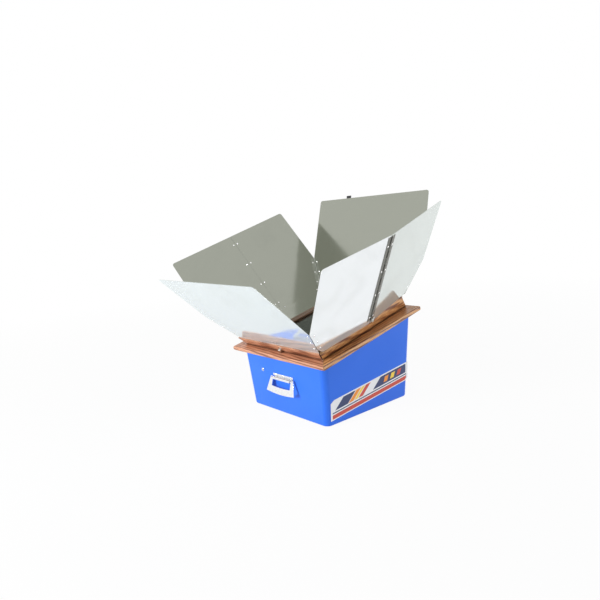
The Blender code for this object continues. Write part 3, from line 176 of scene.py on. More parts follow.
# Colours
CASE_BLUE = (0.018, 0.148, 0.76)
CASE_BLUE_PALE = (0.026, 0.165, 0.81)
CASE_SCUFF = (0.30, 0.42, 0.85)
RED_WOOD = ((0.74, 0.385, 0.235), (0.56, 0.235, 0.120), (0.22, 0.068, 0.032))
GOLD_WOOD = ((0.78, 0.42, 0.16), (0.55, 0.24, 0.085), (0.17, 0.055, 0.022))
DARK_WOOD = ((0.50, 0.29, 0.18), (0.32, 0.155, 0.085), (0.12, 0.045, 0.024))
ENAMEL = (0.012, 0.017, 0.016)
ENAMEL_DUST = (0.05, 0.06, 0.055)
PANE = (0.80, 0.92, 0.88)
RUBBER = (0.022, 0.022, 0.023)
SEAL_RUBBER = (0.015, 0.015, 0.016)
FIBRE_DARK = (0.42, 0.36, 0.20)
FIBRE_PALE = (0.74, 0.68, 0.46)
WEB_DARK = (0.008, 0.008, 0.009)
WEB_PALE = (0.040, 0.040, 0.044)
THREAD_DARK = (0.05, 0.05, 0.055)
THREAD_PALE = (0.12, 0.12, 0.13)
LABEL_INKS = {
    "white": (0.86, 0.86, 0.85),
    "navy": (0.030, 0.045, 0.13),
    "red": (0.60, 0.075, 0.045),
    "orange": (0.88, 0.30, 0.035),
    "yellow": (0.95, 0.66, 0.07),
}

# The sheets' inner faces are olive grey, a painted reflection of grey-green surroundings over the
# metal's tint,
# and their outer faces pale and hazy: the low petal's is the haziest, and that of the right
# petal's rear half a little greyer, partly a painted reflection
INNER_TONE_PAINTED_REFLECTION = (0.365, 0.380, 0.325)
OUTER_TONE = (0.93, 0.955, 0.965)
LOW_OUTER_TONE = (0.69, 0.75, 0.755)
REAR_OUTER_TONE_PAINTED_REFLECTION = (0.72, 0.765, 0.735)
SHEET_HAZE = 0.36
LOW_SHEET_HAZE = 0.55

# Bare metals of CAD nodes: material, colour, smoothest and roughest polish, nodes
METALS = (
    ("hinge_metal", (0.66, 0.67, 0.68), 0.22, 0.36,
     ("base_hinge_collar", "base_hinge_petal", "door_hinge_collar", "door_hinge_door")),
    # The corner and left centre hinges' olive grey tint is a painted reflection, like the sheets'
    # inner faces
    ("corner_hinge_metal_painted_reflection", (0.42, 0.44, 0.39), 0.16, 0.28,
     ("hinge_high_right_a", "hinge_high_right_b", "hinge_high_left_a", "hinge_high_left_b",
      "hinge_low_right_a", "hinge_low_right_b", "hinge_low_left_a", "hinge_low_left_b")),
    ("left_hinge_metal_painted_reflection", (0.42, 0.44, 0.39), 0.16, 0.28,
     ("hinge_left_low_half", "hinge_left_high_half")),
    # The right centre hinges' dark tint is a painted reflection of dark surroundings
    ("centre_hinge_metal_painted_dark_reflection", (0.20, 0.20, 0.18), 0.16, 0.30,
     ("hinge_right_low_half", "hinge_right_high_half")),
    ("bracket_metal", (0.70, 0.71, 0.72), 0.25, 0.40,
     ("clip_right", "clip_left", "low_petal_tongue")),
    ("handle_chrome", (0.90, 0.91, 0.93), 0.05, 0.12, ("handle_bail", "handle_plate")),
    ("latch_metal", (0.66, 0.67, 0.68), 0.22, 0.35, ("door_latch_left", "door_latch_right")),
    ("rack_wire", (0.72, 0.73, 0.74), 0.15, 0.28, ("swing_rack",)),
    ("leg_aluminium", (0.74, 0.75, 0.76), 0.28, 0.42, ("leg_bar", "leg_channel")),
    ("plunger_steel", (0.60, 0.61, 0.62), 0.22, 0.34, ("leg_plunger",)),
)
# Edges: softened in a metal's shading, and rounded in the mesh where faces meet at an angle
SOFT_EDGE = 0.0006
FINE_EDGE = 0.0003
BOARD_EDGE = 0.0010
DOOR_EDGE = 0.0008
LEG_FOOT_EDGE = 0.0015
EDGE_ANGLE = math.radians(40.0)
WELD_REACH = 0.000002

# Turned pieces close in a tiny circle, and are fluted where they are about their widest
TIP_RADIUS = 0.00002
FLUTED_FROM = 0.97

# The span that most of a noise lies in
NOISE_SPAN = (0.3, 0.7)

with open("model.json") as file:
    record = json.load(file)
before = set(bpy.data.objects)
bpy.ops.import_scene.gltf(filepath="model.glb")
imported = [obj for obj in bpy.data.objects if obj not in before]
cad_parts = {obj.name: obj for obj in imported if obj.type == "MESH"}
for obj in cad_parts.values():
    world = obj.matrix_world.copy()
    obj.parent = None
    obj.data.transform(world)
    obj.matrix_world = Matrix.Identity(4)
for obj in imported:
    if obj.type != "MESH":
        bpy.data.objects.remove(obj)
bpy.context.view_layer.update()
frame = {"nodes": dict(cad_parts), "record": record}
nodes = frame["nodes"]


# The frames of the mouth and of the reflector ring, as in the solids

def turned(vector, axis, angle):
    return Matrix.Rotation(angle, 3, axis) @ vector


X_AXIS = Vector((1.0, 0.0, 0.0))
MOUTH_V = Vector((0.0, math.cos(MOUTH_TILT), math.sin(MOUTH_TILT)))
MOUTH_N = Vector((0.0, -math.sin(MOUTH_TILT), math.cos(MOUTH_TILT)))
RING_V = turned(MOUTH_V, X_AXIS, RING_LEAN)
RING_N = turned(MOUTH_N, X_AXIS, RING_LEAN)

# Turns of a texture: the grain runs along X on the low and high sides and up the slope on
# the other two
ALONG_X = (0.0, 0.0, 0.0)
ALONG_SLOPE = (-MOUTH_TILT, 0.0, -math.pi / 2)


def in_mouth(u, v, n):
    """A point given in the mouth's coordinates."""
    return Vector((0.0, 0.0, MOUTH_HEIGHT)) + X_AXIS * u + MOUTH_V * v + MOUTH_N * n


RING_APEX = in_mouth(0.0, RING_MIDDLE_V, RING_MIDDLE_N) - RING_N * BASE_SLANT * math.cos(CONE)


def outward(toward):
    """The outward normal of the petal on this side of the ring."""
    return toward * math.cos(CONE) - RING_N * math.sin(CONE)


def up_slope(toward):
    """The direction from foot to top of the petal on this side of the ring."""
    return RING_N * math.cos(CONE) + toward * math.sin(CONE)


# Helpers for node materials

def shade(colour, share, lift=0.0):
    """A colour made darker or paler."""
    return tuple(min(1.0, c * share + lift) for c in colour)


class Nodes:
    """A node tree under construction."""

    def __init__(self, tree, output):
        self.tree = tree
        self.tree.nodes.clear()
        self.out = self.tree.nodes.new(output)

    def node(self, kind, inputs=None, **settings):
        """A node whose inputs are linked to sockets or set to values."""
        item = self.tree.nodes.new(kind)
        for key, value in settings.items():
            setattr(item, key, value)
        for key, value in (inputs or {}).items():
            if isinstance(value, bpy.types.NodeSocket):
                self.tree.links.new(value, item.inputs[key])
            else:
                item.inputs[key].default_value = value
        return item

    def math(self, operation, first, second, clamp=False):
        return self.node("ShaderNodeMath", {0: first, 1: second}, operation=operation,
                         use_clamp=clamp).outputs[0]

    def seen(self):
        """1 where a camera, glossy or transmission ray looks, 0 where light is gathered."""
        light = self.node("ShaderNodeLightPath")
        seen = self.math("ADD", light.outputs["Is Camera Ray"], light.outputs["Is Glossy Ray"])
        return self.math("ADD", seen, light.outputs["Is Transmission Ray"], clamp=True)

    def finish_with_blend(self, share, first, second):
        """The output as a blend of two shader nodes."""
        both = self.node("ShaderNodeMixShader", {0: share, 1: first.outputs[0],
                                                 2: second.outputs[0]})
        self.tree.links.new(both.outputs[0], self.out.inputs["Surface"])


class Shader(Nodes):
    """A material's nodes; every call below returns the socket it made."""

    def __init__(self, name):
        self.material = bpy.data.materials.new(name)
        self.material.use_nodes = True
        super().__init__(self.material.node_tree, "ShaderNodeOutputMaterial")
        self.coords = self.tree.nodes.new("ShaderNodeTexCoord")

    def place(self, scale=(1, 1, 1), turn=(0, 0, 0), shift=(0, 0, 0)):
        """Object coordinates turned about the origin and then scaled."""
        first = self.node("ShaderNodeMapping", {"Vector": self.coords.outputs["Object"],
                                                "Rotation": turn, "Location": shift})
        return self.node("ShaderNodeMapping", {"Vector": first.outputs["Vector"],
                                               "Scale": scale}).outputs["Vector"]

    def noise(self, vector, scale, detail=3.0, rough=0.5, distortion=0.0):
        return self.node("ShaderNodeTexNoise", {"Vector": vector, "Scale": scale,
                                                "Detail": detail, "Roughness": rough,
                                                "Distortion": distortion}).outputs["Fac"]

    def spread(self, value, span, to=(0.0, 1.0)):
        """A value whose span is stretched to another, and kept inside it."""
        return self.node("ShaderNodeMapRange", {"Value": value, "From Min": span[0],
                                                "From Max": span[1], "To Min": to[0],
                                                "To Max": to[1]}).outputs["Result"]

    def vary(self, noise, low, high):
        """A value that a noise varies between two levels."""
        return self.spread(noise, NOISE_SPAN, to=(low, high))

    def times(self, value, share):
        return self.math("MULTIPLY", value, share)

    def along(self, vector, direction):
        """How far a vector runs along a direction."""
        return self.node("ShaderNodeVectorMath", {0: vector, 1: direction},
                         operation="DOT_PRODUCT").outputs["Value"]

    def ramp(self, factor, stops):
        item = self.node("ShaderNodeValToRGB", {"Fac": factor})
        ramp = item.color_ramp
        while len(ramp.elements) < len(stops):
            ramp.elements.new(0.5)
        for element, (place, colour) in zip(ramp.elements, stops):
            element.position = place
            element.color = (*colour, 1.0)
        return item.outputs["Color"]

    def mix(self, factor, first, second):
        """A blend of two colours, each a socket or a triple."""
        item = self.node("ShaderNodeMix", data_type="RGBA")
        # The node's sockets share their names, so those for colours are found by number
        factor_in, first_in, second_in = (item.inputs[index] for index in (0, 6, 7))
        self.tree.links.new(factor, factor_in)
        for value, socket in ((first, first_in), (second, second_in)):
            if isinstance(value, bpy.types.NodeSocket):
                self.tree.links.new(value, socket)
            else:
                socket.default_value = (*value, 1.0)
        return item.outputs[2]

    def bump(self, height, strength, distance, normal=None):
        inputs = {"Height": height, "Strength": strength, "Distance": distance}
        if normal is not None:
            inputs["Normal"] = normal
        return self.node("ShaderNodeBump", inputs).outputs["Normal"]

    def rounded(self, radius):
        """Normals that turn softly over edges."""
        return self.node("ShaderNodeBevel", {"Radius": radius}, samples=4).outputs["Normal"]

    def edge_wear(self, radius):
        """1 on sharp edges and 0 on flat faces."""
        flat = self.node("ShaderNodeNewGeometry").outputs["Normal"]
        return self.spread(self.along(self.rounded(radius), flat), (0.995, 0.90))

    def surface(self, base, **values):
        """The finished material: a Principled shader whose sockets the names stand for."""
        named = {key.replace("_", " "): value for key, value in values.items()}
        named["Base Color"] = (*base, 1.0) if isinstance(base, tuple) else base
        item = self.node("ShaderNodeBsdfPrincipled", named)
        self.tree.links.new(item.outputs["BSDF"], self.out.inputs["Surface"])
        return self.material


# Materials

def case_plastic():
    """Moulded blue plastic, faintly uneven, with a few long scuffs."""
    s = Shader("case_blue")
    broad = s.noise(s.place(), scale=5.0, detail=2.0)
    colour = s.mix(s.vary(broad, 0.0, 1.0), CASE_BLUE, CASE_BLUE_PALE)
    scuff = s.noise(s.place(scale=(1.0, 1.0, 6.0)), scale=38.0, detail=6.0, rough=0.7)
    colour = s.mix(s.spread(scuff, (0.66, 0.78), to=(0.0, 0.10)), colour, CASE_SCUFF)
    rough = s.vary(s.noise(s.place(), scale=60.0, detail=4.0), 0.34, 0.42)
    grain = s.noise(s.place(), scale=900.0, detail=2.0, rough=0.6)
    return s.surface(colour, Roughness=rough, IOR=1.42,
                     Normal=s.bump(grain, strength=0.10, distance=0.0002))


def wood(name, turn, palette, seed):
    """Oiled wood whose grain runs along X after the coordinates are turned."""
    pale, mid, dark = palette
    s = Shader(name)
    run = s.place(scale=(1.0, 14.0, 14.0), turn=turn,
                  shift=(seed * 3.1, seed * 1.7, seed * 0.9))
    wander = s.noise(run, scale=2.2, rough=0.55, distortion=0.4)
    growth = s.place(scale=(0.35, 5.0, 5.0), turn=turn, shift=(seed, seed * 0.37, 0.11))
    rings = s.node("ShaderNodeTexWave", {"Vector": growth, "Scale": 9.0, "Distortion": 5.0,
                                         "Detail": 3.0, "Detail Scale": 1.6,
                                         "Detail Roughness": 0.6},
                   bands_direction="DIAGONAL").outputs["Fac"]
    fibres = s.noise(s.place(scale=(6.0, 260.0, 260.0), turn=turn), scale=3.0, detail=5.0,
                     rough=0.65)
    pores = s.noise(s.place(scale=(18.0, 700.0, 700.0), turn=turn), scale=2.0, detail=2.0)
    crevice = s.node("ShaderNodeAmbientOcclusion", {"Distance": 0.010}, samples=6)

    tone = s.math("ADD", s.times(rings, 0.45), s.times(wander, 0.55))
    colour = s.ramp(tone, ((0.26, dark), (0.42, mid), (0.60, pale), (0.78, mid)))
    streak = s.spread(fibres, (0.42, 0.66), to=(0.0, 0.50))
    colour = s.mix(streak, colour, shade(dark, 0.6))
    pore = s.spread(pores, (0.58, 0.70), to=(0.0, 0.45))
    colour = s.mix(pore, colour, shade(dark, 0.4))
    # Painted shade: the colour darkens where ambient occlusion finds crevices and joins between
    # parts
    painted_crevice_shade = s.spread(crevice.outputs["AO"], (0.30, 0.75), to=(0.75, 0.0))
    colour = s.mix(painted_crevice_shade, colour, shade(dark, 0.35))
    worn = s.times(s.edge_wear(0.0014), 0.7)
    colour = s.mix(worn, colour, shade(pale, 1.35))

    height = s.math("ADD", s.times(fibres, 0.7), s.times(pores, -0.5))
    normal = s.bump(height, strength=0.25, distance=0.0006, normal=s.rounded(0.0012))
    return s.surface(colour, Roughness=s.vary(fibres, 0.30, 0.48), Normal=normal,
                     Coat_Weight=0.25, Coat_Roughness=0.25)


def polished_sheet(name, turn, facing, outer=OUTER_TONE, outer_haze=SHEET_HAZE):
    """Anodised sheet with rolling lines and smears, hazier on its weathered outer face.

    facing is the sheet's own outward normal and outer its outer face's colour.
    """
    s = Shader(name)
    lines = s.noise(s.place(scale=(1.0, 90.0, 90.0), turn=turn), scale=9.0, detail=4.0, rough=0.6)
    smear = s.noise(s.place(), scale=7.0, detail=5.0, rough=0.62, distortion=0.8)
    prints = s.noise(s.place(), scale=46.0)
    buckle = s.noise(s.place(), scale=3.2, detail=1.0, rough=0.4)
    haze = s.spread(smear, (0.48, 0.75), to=(0.0, 0.5))
    dots = s.spread(prints, (0.60, 0.70), to=(0.0, 0.35))
    outside = s.spread(s.along(s.coords.outputs["Normal"], facing), (-0.1, 0.1))

    # Painted reflection: the inner face's olive grey stands in for grey-green surroundings seen
    # in the metal
    colour = s.mix(outside, INNER_TONE_PAINTED_REFLECTION, outer)
    colour = s.mix(s.times(haze, 0.3), colour, shade(INNER_TONE_PAINTED_REFLECTION, 0.88))
    metal = s.spread(outside, (0.0, 1.0), to=(0.92, 1.0 - outer_haze))
    metal = s.math("SUBTRACT", metal, s.times(haze, 0.10))
    rough = s.math("ADD", s.vary(lines, 0.08, 0.13), s.times(haze, 0.10))
    rough = s.math("ADD", rough, s.times(dots, 0.05))
    rough = s.math("SUBTRACT", rough, s.times(outside, 0.035))
    normal = s.bump(buckle, strength=0.5, distance=0.0035)
    normal = s.bump(lines, strength=0.012, distance=0.0001, normal=normal)
    return s.surface(colour, Metallic=metal, Roughness=rough, Normal=normal)


def bare_metal(name, tint, smoothest, roughest, edge=SOFT_EDGE):
    """Metal with dull spots and fine long marks, its edges softened in the shading."""
    s = Shader(name)
    spots = s.noise(s.place(), scale=120.0, detail=4.0, rough=0.6)
    marks = s.noise(s.place(scale=(1.0, 1.0, 12.0)), scale=140.0, rough=0.6)
    dull = s.spread(spots, (0.45, 0.7), to=(0.0, 0.35))
    colour = s.mix(dull, tint, shade(tint, 0.78))
    normal = s.bump(marks, strength=0.05, distance=0.0002, normal=s.rounded(edge))
    return s.surface(colour, Metallic=1.0, Roughness=s.vary(spots, smoothest, roughest),
                     Normal=normal)


def oven_enamel():
    s = Shader("oven_black")
    grain = s.noise(s.place(), scale=420.0, rough=0.6)
    dust = s.noise(s.place(), scale=9.0, detail=4.0, rough=0.6)
    colour = s.mix(s.spread(dust, (0.5, 0.75), to=(0.0, 0.25)), ENAMEL, ENAMEL_DUST)
    normal = s.bump(grain, strength=0.08, distance=0.0002, normal=s.rounded(0.004))
    return s.surface(colour, Roughness=s.vary(grain, 0.42, 0.58), Normal=normal)


def door_pane():
    s = Shader("door_glass")
    smear = s.noise(s.place(), scale=14.0, detail=4.0, rough=0.6, distortion=0.5)
    return s.surface(PANE, Roughness=s.spread(smear, (0.5, 0.75), to=(0.0, 0.05)), IOR=1.25,
                     Transmission_Weight=1.0)


def rubber(name, colour):
    s = Shader(name)
    grain = s.noise(s.place(), scale=300.0, rough=0.6)
    dust = s.spread(s.noise(s.place(), scale=30.0, detail=4.0), (0.5, 0.8), to=(0.0, 0.4))
    dusty = s.mix(dust, colour, shade(colour, 2.5, lift=0.02))
    return s.surface(dusty, Roughness=0.72, Normal=s.bump(grain, strength=0.3, distance=0.0004))


def fibre():
    s = Shader("insulation_fibre")
    strands = s.noise(s.place(scale=(1.0, 1.0, 4.0)), scale=110.0, detail=6.0, rough=0.7,
                      distortion=1.2)
    colour = s.ramp(strands, ((0.3, FIBRE_DARK), (0.7, FIBRE_PALE)))
    return s.surface(colour, Roughness=0.95, Normal=s.bump(strands, strength=0.6, distance=0.003))


def webbing():
    s = Shader("strap_webbing")
    ribs = [s.node("ShaderNodeTexWave", {"Vector": s.place(), "Scale": scale, "Distortion": 0.3},
                   bands_direction=direction).outputs["Fac"]
            for direction, scale in (("Z", 190.0), ("X", 150.0))]
    weave = s.math("MULTIPLY", *ribs)
    colour = s.ramp(weave, ((0.1, WEB_DARK), (0.8, WEB_PALE)))
    return s.surface(colour, Roughness=0.8, Sheen_Weight=0.3,
                     Normal=s.bump(weave, strength=0.5, distance=0.0005))


def thread():
    s = Shader("strap_thread")
    twist = s.noise(s.place(), scale=900.0, detail=2.0)
    return s.surface(s.mix(twist, THREAD_DARK, THREAD_PALE), Roughness=0.7,
                     Normal=s.bump(twist, strength=0.4, distance=0.0003))


def printed_film(name, colour):
    """A printed plastic label with a slight grain, worn pale in places."""
    s = Shader(name)
    wear = s.noise(s.place(), scale=55.0, detail=5.0, rough=0.65)
    worn = s.mix(s.spread(wear, (0.62, 0.78), to=(0.0, 0.35)), colour,
                 shade(colour, 0.7, lift=0.28))
    grain = s.noise(s.place(), scale=700.0, detail=2.0)
    return s.surface(worn, Roughness=0.38, Normal=s.bump(grain, strength=0.06, distance=0.0001))


# CAD nodes

def paint(names, material):
    for name in names:
        item = nodes[name]
        item.data.materials.clear()
        item.data.materials.append(material)


def soften(names, width, segments=2):
    """Small rounded edges on CAD nodes, whose faces are joined first."""
    for name in names:
        join = nodes[name].modifiers.new("join", "WELD")
        join.merge_threshold = WELD_REACH
        step = nodes[name].modifiers.new("edge", "BEVEL")
        step.width = width
        step.segments = segments
        step.limit_method = "ANGLE"
        step.angle_limit = EDGE_ANGLE


def paint_wood():
    """Each board has a grain of its own, from its seed."""
    boards = (("low", ALONG_X, RED_WOOD), ("high", ALONG_X, GOLD_WOOD),
              ("right", ALONG_SLOPE, GOLD_WOOD), ("left", ALONG_SLOPE, RED_WOOD))
    for kind, first_seed in (("flange", 1.0), ("collar", 8.0)):
        for k, (side, turn, palette) in enumerate(boards):
            name = "%s_%s" % (kind, side)
            paint([name], wood(name, turn, palette, first_seed + k))
    door = (("door_rail_low", ALONG_X), ("door_rail_high", ALONG_X),
            ("door_stile_left", ALONG_SLOPE), ("door_stile_right", ALONG_SLOPE))
    for k, (name, turn) in enumerate(door):
        paint([name], wood(name, turn, DARK_WOOD, 21.0 + k))
    soften(["flange_" + side for side, _, _ in boards], BOARD_EDGE)
    soften(["collar_right", "collar_high", "collar_left"], BOARD_EDGE)
    soften([name for name, _ in door], DOOR_EDGE)


def paint_sheets():
    # The right petal's rear half has a greyer outer colour, partly a painted reflection of dark
    # surroundings
    for side, toward, turn, outer, haze in (
            ("low", -RING_V, ALONG_X, LOW_OUTER_TONE, LOW_SHEET_HAZE),
            ("high", RING_V, ALONG_X, OUTER_TONE, SHEET_HAZE),
            ("right_low", X_AXIS, ALONG_SLOPE, OUTER_TONE, SHEET_HAZE),
            ("right_high", X_AXIS, ALONG_SLOPE, REAR_OUTER_TONE_PAINTED_REFLECTION, SHEET_HAZE),
            ("left_low", -X_AXIS, ALONG_SLOPE, OUTER_TONE, SHEET_HAZE),
            ("left_high", -X_AXIS, ALONG_SLOPE, OUTER_TONE, SHEET_HAZE)):
        paint(["reflector_" + side],
              polished_sheet("sheet_" + side, turn, outward(toward), outer, haze))
    for side, toward in (("right", X_AXIS), ("left", -X_AXIS)):
        paint(["collar_lining_" + side],
              polished_sheet("lining_" + side, ALONG_SLOPE, outward(toward)))


def paint_nodes():
    paint_wood()
    paint_sheets()
    for name, tint, smoothest, roughest, members in METALS:
        paint(members, bare_metal(name, tint, smoothest, roughest))
    paint(["door_glass"], door_pane())
    paint(["oven_liner"], oven_enamel())
    paint(["insulation"], fibre())
    paint(["leg_foot"], rubber("foot_rubber", RUBBER))
    soften(["leg_foot"], LEG_FOOT_EDGE, segments=3)


# Helpers for meshes

def add_piece(name, mesh, material=None, smooth_angle=None):
    """A mesh as an object in the scene, shaded smooth up to an angle if one is given."""
    if material:
        mesh.materials.append(material)
    if smooth_angle is not None:
        mesh.shade_smooth()
        mesh.set_sharp_from_angle(angle=math.radians(smooth_angle))
    item = bpy.data.objects.new(name, mesh)
    bpy.context.scene.collection.objects.link(item)
    return item


def mesh_object(name, points, faces, material=None, smooth_angle=None):
    mesh = bpy.data.meshes.new(name)
    mesh.from_pydata([tuple(p) for p in points], [], faces)
    mesh.validate()
    return add_piece(name, mesh, material, smooth_angle)


def bmesh_object(name, shape, material, smooth_angle=None):
    mesh = bpy.data.meshes.new(name)
    shape.to_mesh(mesh)
    shape.free()
    return add_piece(name, mesh, material, smooth_angle)


def lofted(name, loops, material, smooth_angle, ring=False):
    """A skin over loops of equal length, closed at both ends or on itself."""
    count = len(loops[0])
    points = [point for loop in loops for point in loop]
    faces = []
    rows = len(loops)
    for row in range(rows if ring else rows - 1):
        low, high = row * count, ((row + 1) % rows) * count
        faces += [(low + i, low + (i + 1) % count, high + (i + 1) % count, high + i)
                  for i in range(count)]
    if not ring:
        faces.append(tuple(range(count))[::-1])
        faces.append(tuple((rows - 1) * count + i for i in range(count)))
    return mesh_object(name, points, faces, material, smooth_angle)


def round_corners(x0, x1, y0, y1, radius, steps):
    """The outline of a rectangle with round corners."""
    points = []
    for cx, cy, start in ((x1 - radius, y0 + radius, -90), (x1 - radius, y1 - radius, 0),
                          (x0 + radius, y1 - radius, 90), (x0 + radius, y0 + radius, 180)):
        for i in range(steps + 1):
            angle = math.radians(start + 90 * i / steps)
            points.append((cx + radius * math.cos(angle), cy + radius * math.sin(angle)))
    return points


def across(axis):
    """Two directions square to an axis and to each other."""
    side = Vector((1, 0, 0)) if abs(axis.x) < 0.8 else Vector((0, 1, 0))
    first = axis.cross(side).normalized()
    return first, axis.cross(first)


def circle_of(axis, sides):
    """Unit directions all round an axis."""
    first, second = across(axis)
    angles = (2 * math.pi * i / sides for i in range(sides))
    return [first * math.cos(angle) + second * math.sin(angle) for angle in angles]


def turned_piece(name, start, axis, profile, material, sides=24, flute=0.0):
    """A closed turned piece from (distance, radius) pairs, its widest part fluted if asked."""
    widest = max(radius for _, radius in profile)
    loops = []
    for distance, radius in [(profile[0][0], 0.0)] + list(profile):
        loop = []
        for i, direction in enumerate(circle_of(axis, sides)):
            sunk = flute if i % 2 and radius > widest * FLUTED_FROM else 0.0
            loop.append(start + axis * distance + direction * max(radius - sunk, TIP_RADIUS))
        loops.append(loop)
    return lofted(name, loops[::-1], material, 30.0)


# The case and its label

def case_loop(inset, height=None, level=None):
    """The case's section at a height, or where its walls meet a level of the mouth."""
    radius = CASE_RADIUS - min(inset, CASE_RADIUS * 0.6)
    loop = []
    for x, y in round_corners(-BASE_HALF_X + inset, BASE_HALF_X - inset, BASE_FRONT_Y + inset,
                              BASE_BACK_Y - inset, radius, CASE_CORNER_STEPS):
        rise = Vector((math.copysign(SIDE_DRAFT, x), BACK_DRAFT if y > 0 else -FRONT_DRAFT, 1.0))
        foot = Vector((x, y, 0.0))
        reach = height
        if level is not None:
            reach = (in_mouth(0, 0, level) - foot).dot(MOUTH_N) / rise.dot(MOUTH_N)
        loop.append(foot + rise * reach)
    return loop


def make_case():
    """The moulded case with a rolled foot and full corner arcs."""
    outside = []
    for i in range(FOOT_STEPS + 1):
        angle = math.radians(90.0 * i / FOOT_STEPS)
        outside.append(case_loop(FOOT_INSET * (1 - math.sin(angle)),
                                 height=FOOT_TALL * (1 - math.cos(angle))))
    outside.append(case_loop(0.0, level=CASE_RIM))
    inside = [case_loop(CASE_WALL, level=CASE_RIM), case_loop(CASE_WALL, height=CASE_WALL * 3),
              case_loop(CASE_WALL * 1.7, height=CASE_WALL)]
    case = lofted("case_body", outside + inside, case_plastic(), 50.0)
    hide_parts("case_shell")
    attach(case, "oven")


def on_right_wall(y, z, lift):
    """A point a little off the case's right wall."""
    normal = Vector((1.0, 0.0, -SIDE_DRAFT)).normalized()
    return Vector((BASE_HALF_X + SIDE_DRAFT * z, y, z)) + normal * lift


def label_patch(name, corners, lift, material):
    """A thin flat piece of label; corners are (share along, share up) of its field."""
    points = []
    for depth in (lift, lift - LABEL_FILM):
        for along, up in corners:
            y = LABEL_FRONT + (LABEL_BACK - LABEL_FRONT) * along
            z = LABEL_LOW_FRONT + (LABEL_LOW_BACK - LABEL_LOW_FRONT) * along + LABEL_TALL * up
            points.append(on_right_wall(y, z, depth))
    count = len(corners)
    faces = [tuple(range(count)), tuple(range(2 * count - 1, count - 1, -1))]
    faces += [(i + count, (i + 1) % count + count, (i + 1) % count, i) for i in range(count)]
    patch = mesh_object(name, points, faces, material)
    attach(patch, "oven")


def make_label():
    """Slanted bands of plain colour in a white border."""
    inks = {name: printed_film("label_" + name, colour) for name, colour in LABEL_INKS.items()}
    layer = 2 * LABEL_LIFT
    label_patch("label_plate", [(0.0, 0.0), (0.97, 0.0), (1.0, 0.10), (1.0, 1.0), (0.04, 1.0),
                                (0.0, 0.88)], LABEL_LIFT, inks["white"])
    label_patch("label_base_band", [(0.02, 0.05), (0.96, 0.05), (0.98, 0.15), (0.98, 0.26),
                                    (0.02, 0.26)], layer, inks["red"])
    label_patch("label_pin_line", [(0.02, 0.32), (0.98, 0.32), (0.98, 0.38), (0.02, 0.38)],
                layer, inks["navy"])
    bands = ((0.05, 0.20, "navy"), (0.21, 0.27, "orange"), (0.28, 0.32, "yellow"),
             (0.33, 0.39, "red"))
    for k, (start, end, ink) in enumerate(bands):
        corners = [(start, 0.45), (end, 0.45), (end + LABEL_SLANT, 0.93),
                   (start + LABEL_SLANT, 0.93)]
        label_patch("label_slant_%d" % k, corners, layer, inks[ink])
    label_patch("label_field", [(0.52, 0.45), (0.97, 0.45), (0.97, 0.93), (0.62, 0.93)],
                layer, inks["navy"])
    for k, ink in enumerate(("orange", "yellow", "red")):
        start = 0.66 + 0.09 * k
        corners = [(start, 0.55), (start + 0.05, 0.55), (start + 0.07, 0.83),
                   (start + 0.02, 0.83)]
        label_patch("label_step_%d" % k, corners, 1.5 * layer, inks[ink])


# Trim of the collar, hinges and door

def make_lips():
    """The folded edge of each side lining, up to the board's top."""
    for side, sign in (("left", -1.0), ("right", 1.0)):
        low, high, foot = (in_mouth(sign * u, v, n) for u, v, n in LIP_CORNERS)
        along = (high - low).normalized()
        down = ((foot - low) - along * (foot - low).dot(along)).normalized()
        inward = along.cross(down)
        if inward.x * sign > 0:
            inward = -inward
        near, far = low + along * LIP_END_GAP, high - along * LIP_END_GAP
        points = [start + down * drop + inward * depth for depth in LIP_DEPTHS
                  for start, drop in ((near, 0.0), (far, 0.0), (far, LIP_TALL), (near, LIP_TALL))]
        faces = [(0, 1, 2, 3), (7, 6, 5, 4), (0, 4, 5, 1), (1, 5, 6, 2), (2, 6, 7, 3),
                 (3, 7, 4, 0)]
        lip = mesh_object("collar_lip_" + side, points, faces,
                          polished_sheet("lip_" + side, ALONG_SLOPE, outward(X_AXIS * sign)))
        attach(lip, "oven")


def hexagons(mesh, radius):
    """Centres and normals of the closed six-sided rings of this radius in a mesh."""
    near = {}
    for edge in mesh.edges:
        a, b = (tuple(round(x, 6) for x in mesh.vertices[i].co) for i in edge.vertices)
        if abs((Vector(a) - Vector(b)).length - radius) < radius * RIVET_LENGTH_SLACK:
            near.setdefault(a, set()).add(b)
            near.setdefault(b, set()).add(a)
    found, seen = [], set()
    for start in near:
        if start in seen:
            continue
        group, todo = set(), [start]
        while todo:
            item = todo.pop()
            if item not in group:
                group.add(item)
                todo.extend(near[item])
        seen |= group
        if len(group) != RIVET_CORNERS:
            continue
        points = [Vector(corner) for corner in group]
        centre = sum(points, Vector()) / RIVET_CORNERS
        spokes = [point - centre for point in points]
        if all(abs(spoke.length - radius) < radius * RIVET_ROUND_SLACK for spoke in spokes):
            first = spokes[0]
            other = next(s for s in spokes if abs(s.dot(first)) < radius ** 2 * 0.9)
            found.append((centre, first.cross(other).normalized()))
    return found


def rivet_places(mesh):
    """Foot and direction of the round heads that go on a hinge leaf's rivets."""
    places = []
    ends = hexagons(mesh, RIVET_HEAD)
    for centre, normal in hexagons(mesh, RIVET_CROWN):
        tails = [(spot - centre).dot(normal) for spot, _ in ends
                 if (spot - centre).cross(normal).length < RIVET_OFF_AXIS]
        if not tails:
            continue
        reach = max(tails, key=abs)
        out = normal if reach < 0 else -normal
        places.append((centre - out * RIVET_RISE, out))
        if abs(reach) > RIVET_THROUGH:
            places.append((centre - out * (abs(reach) - RIVET_TAIL_SINK), -out))
    return places


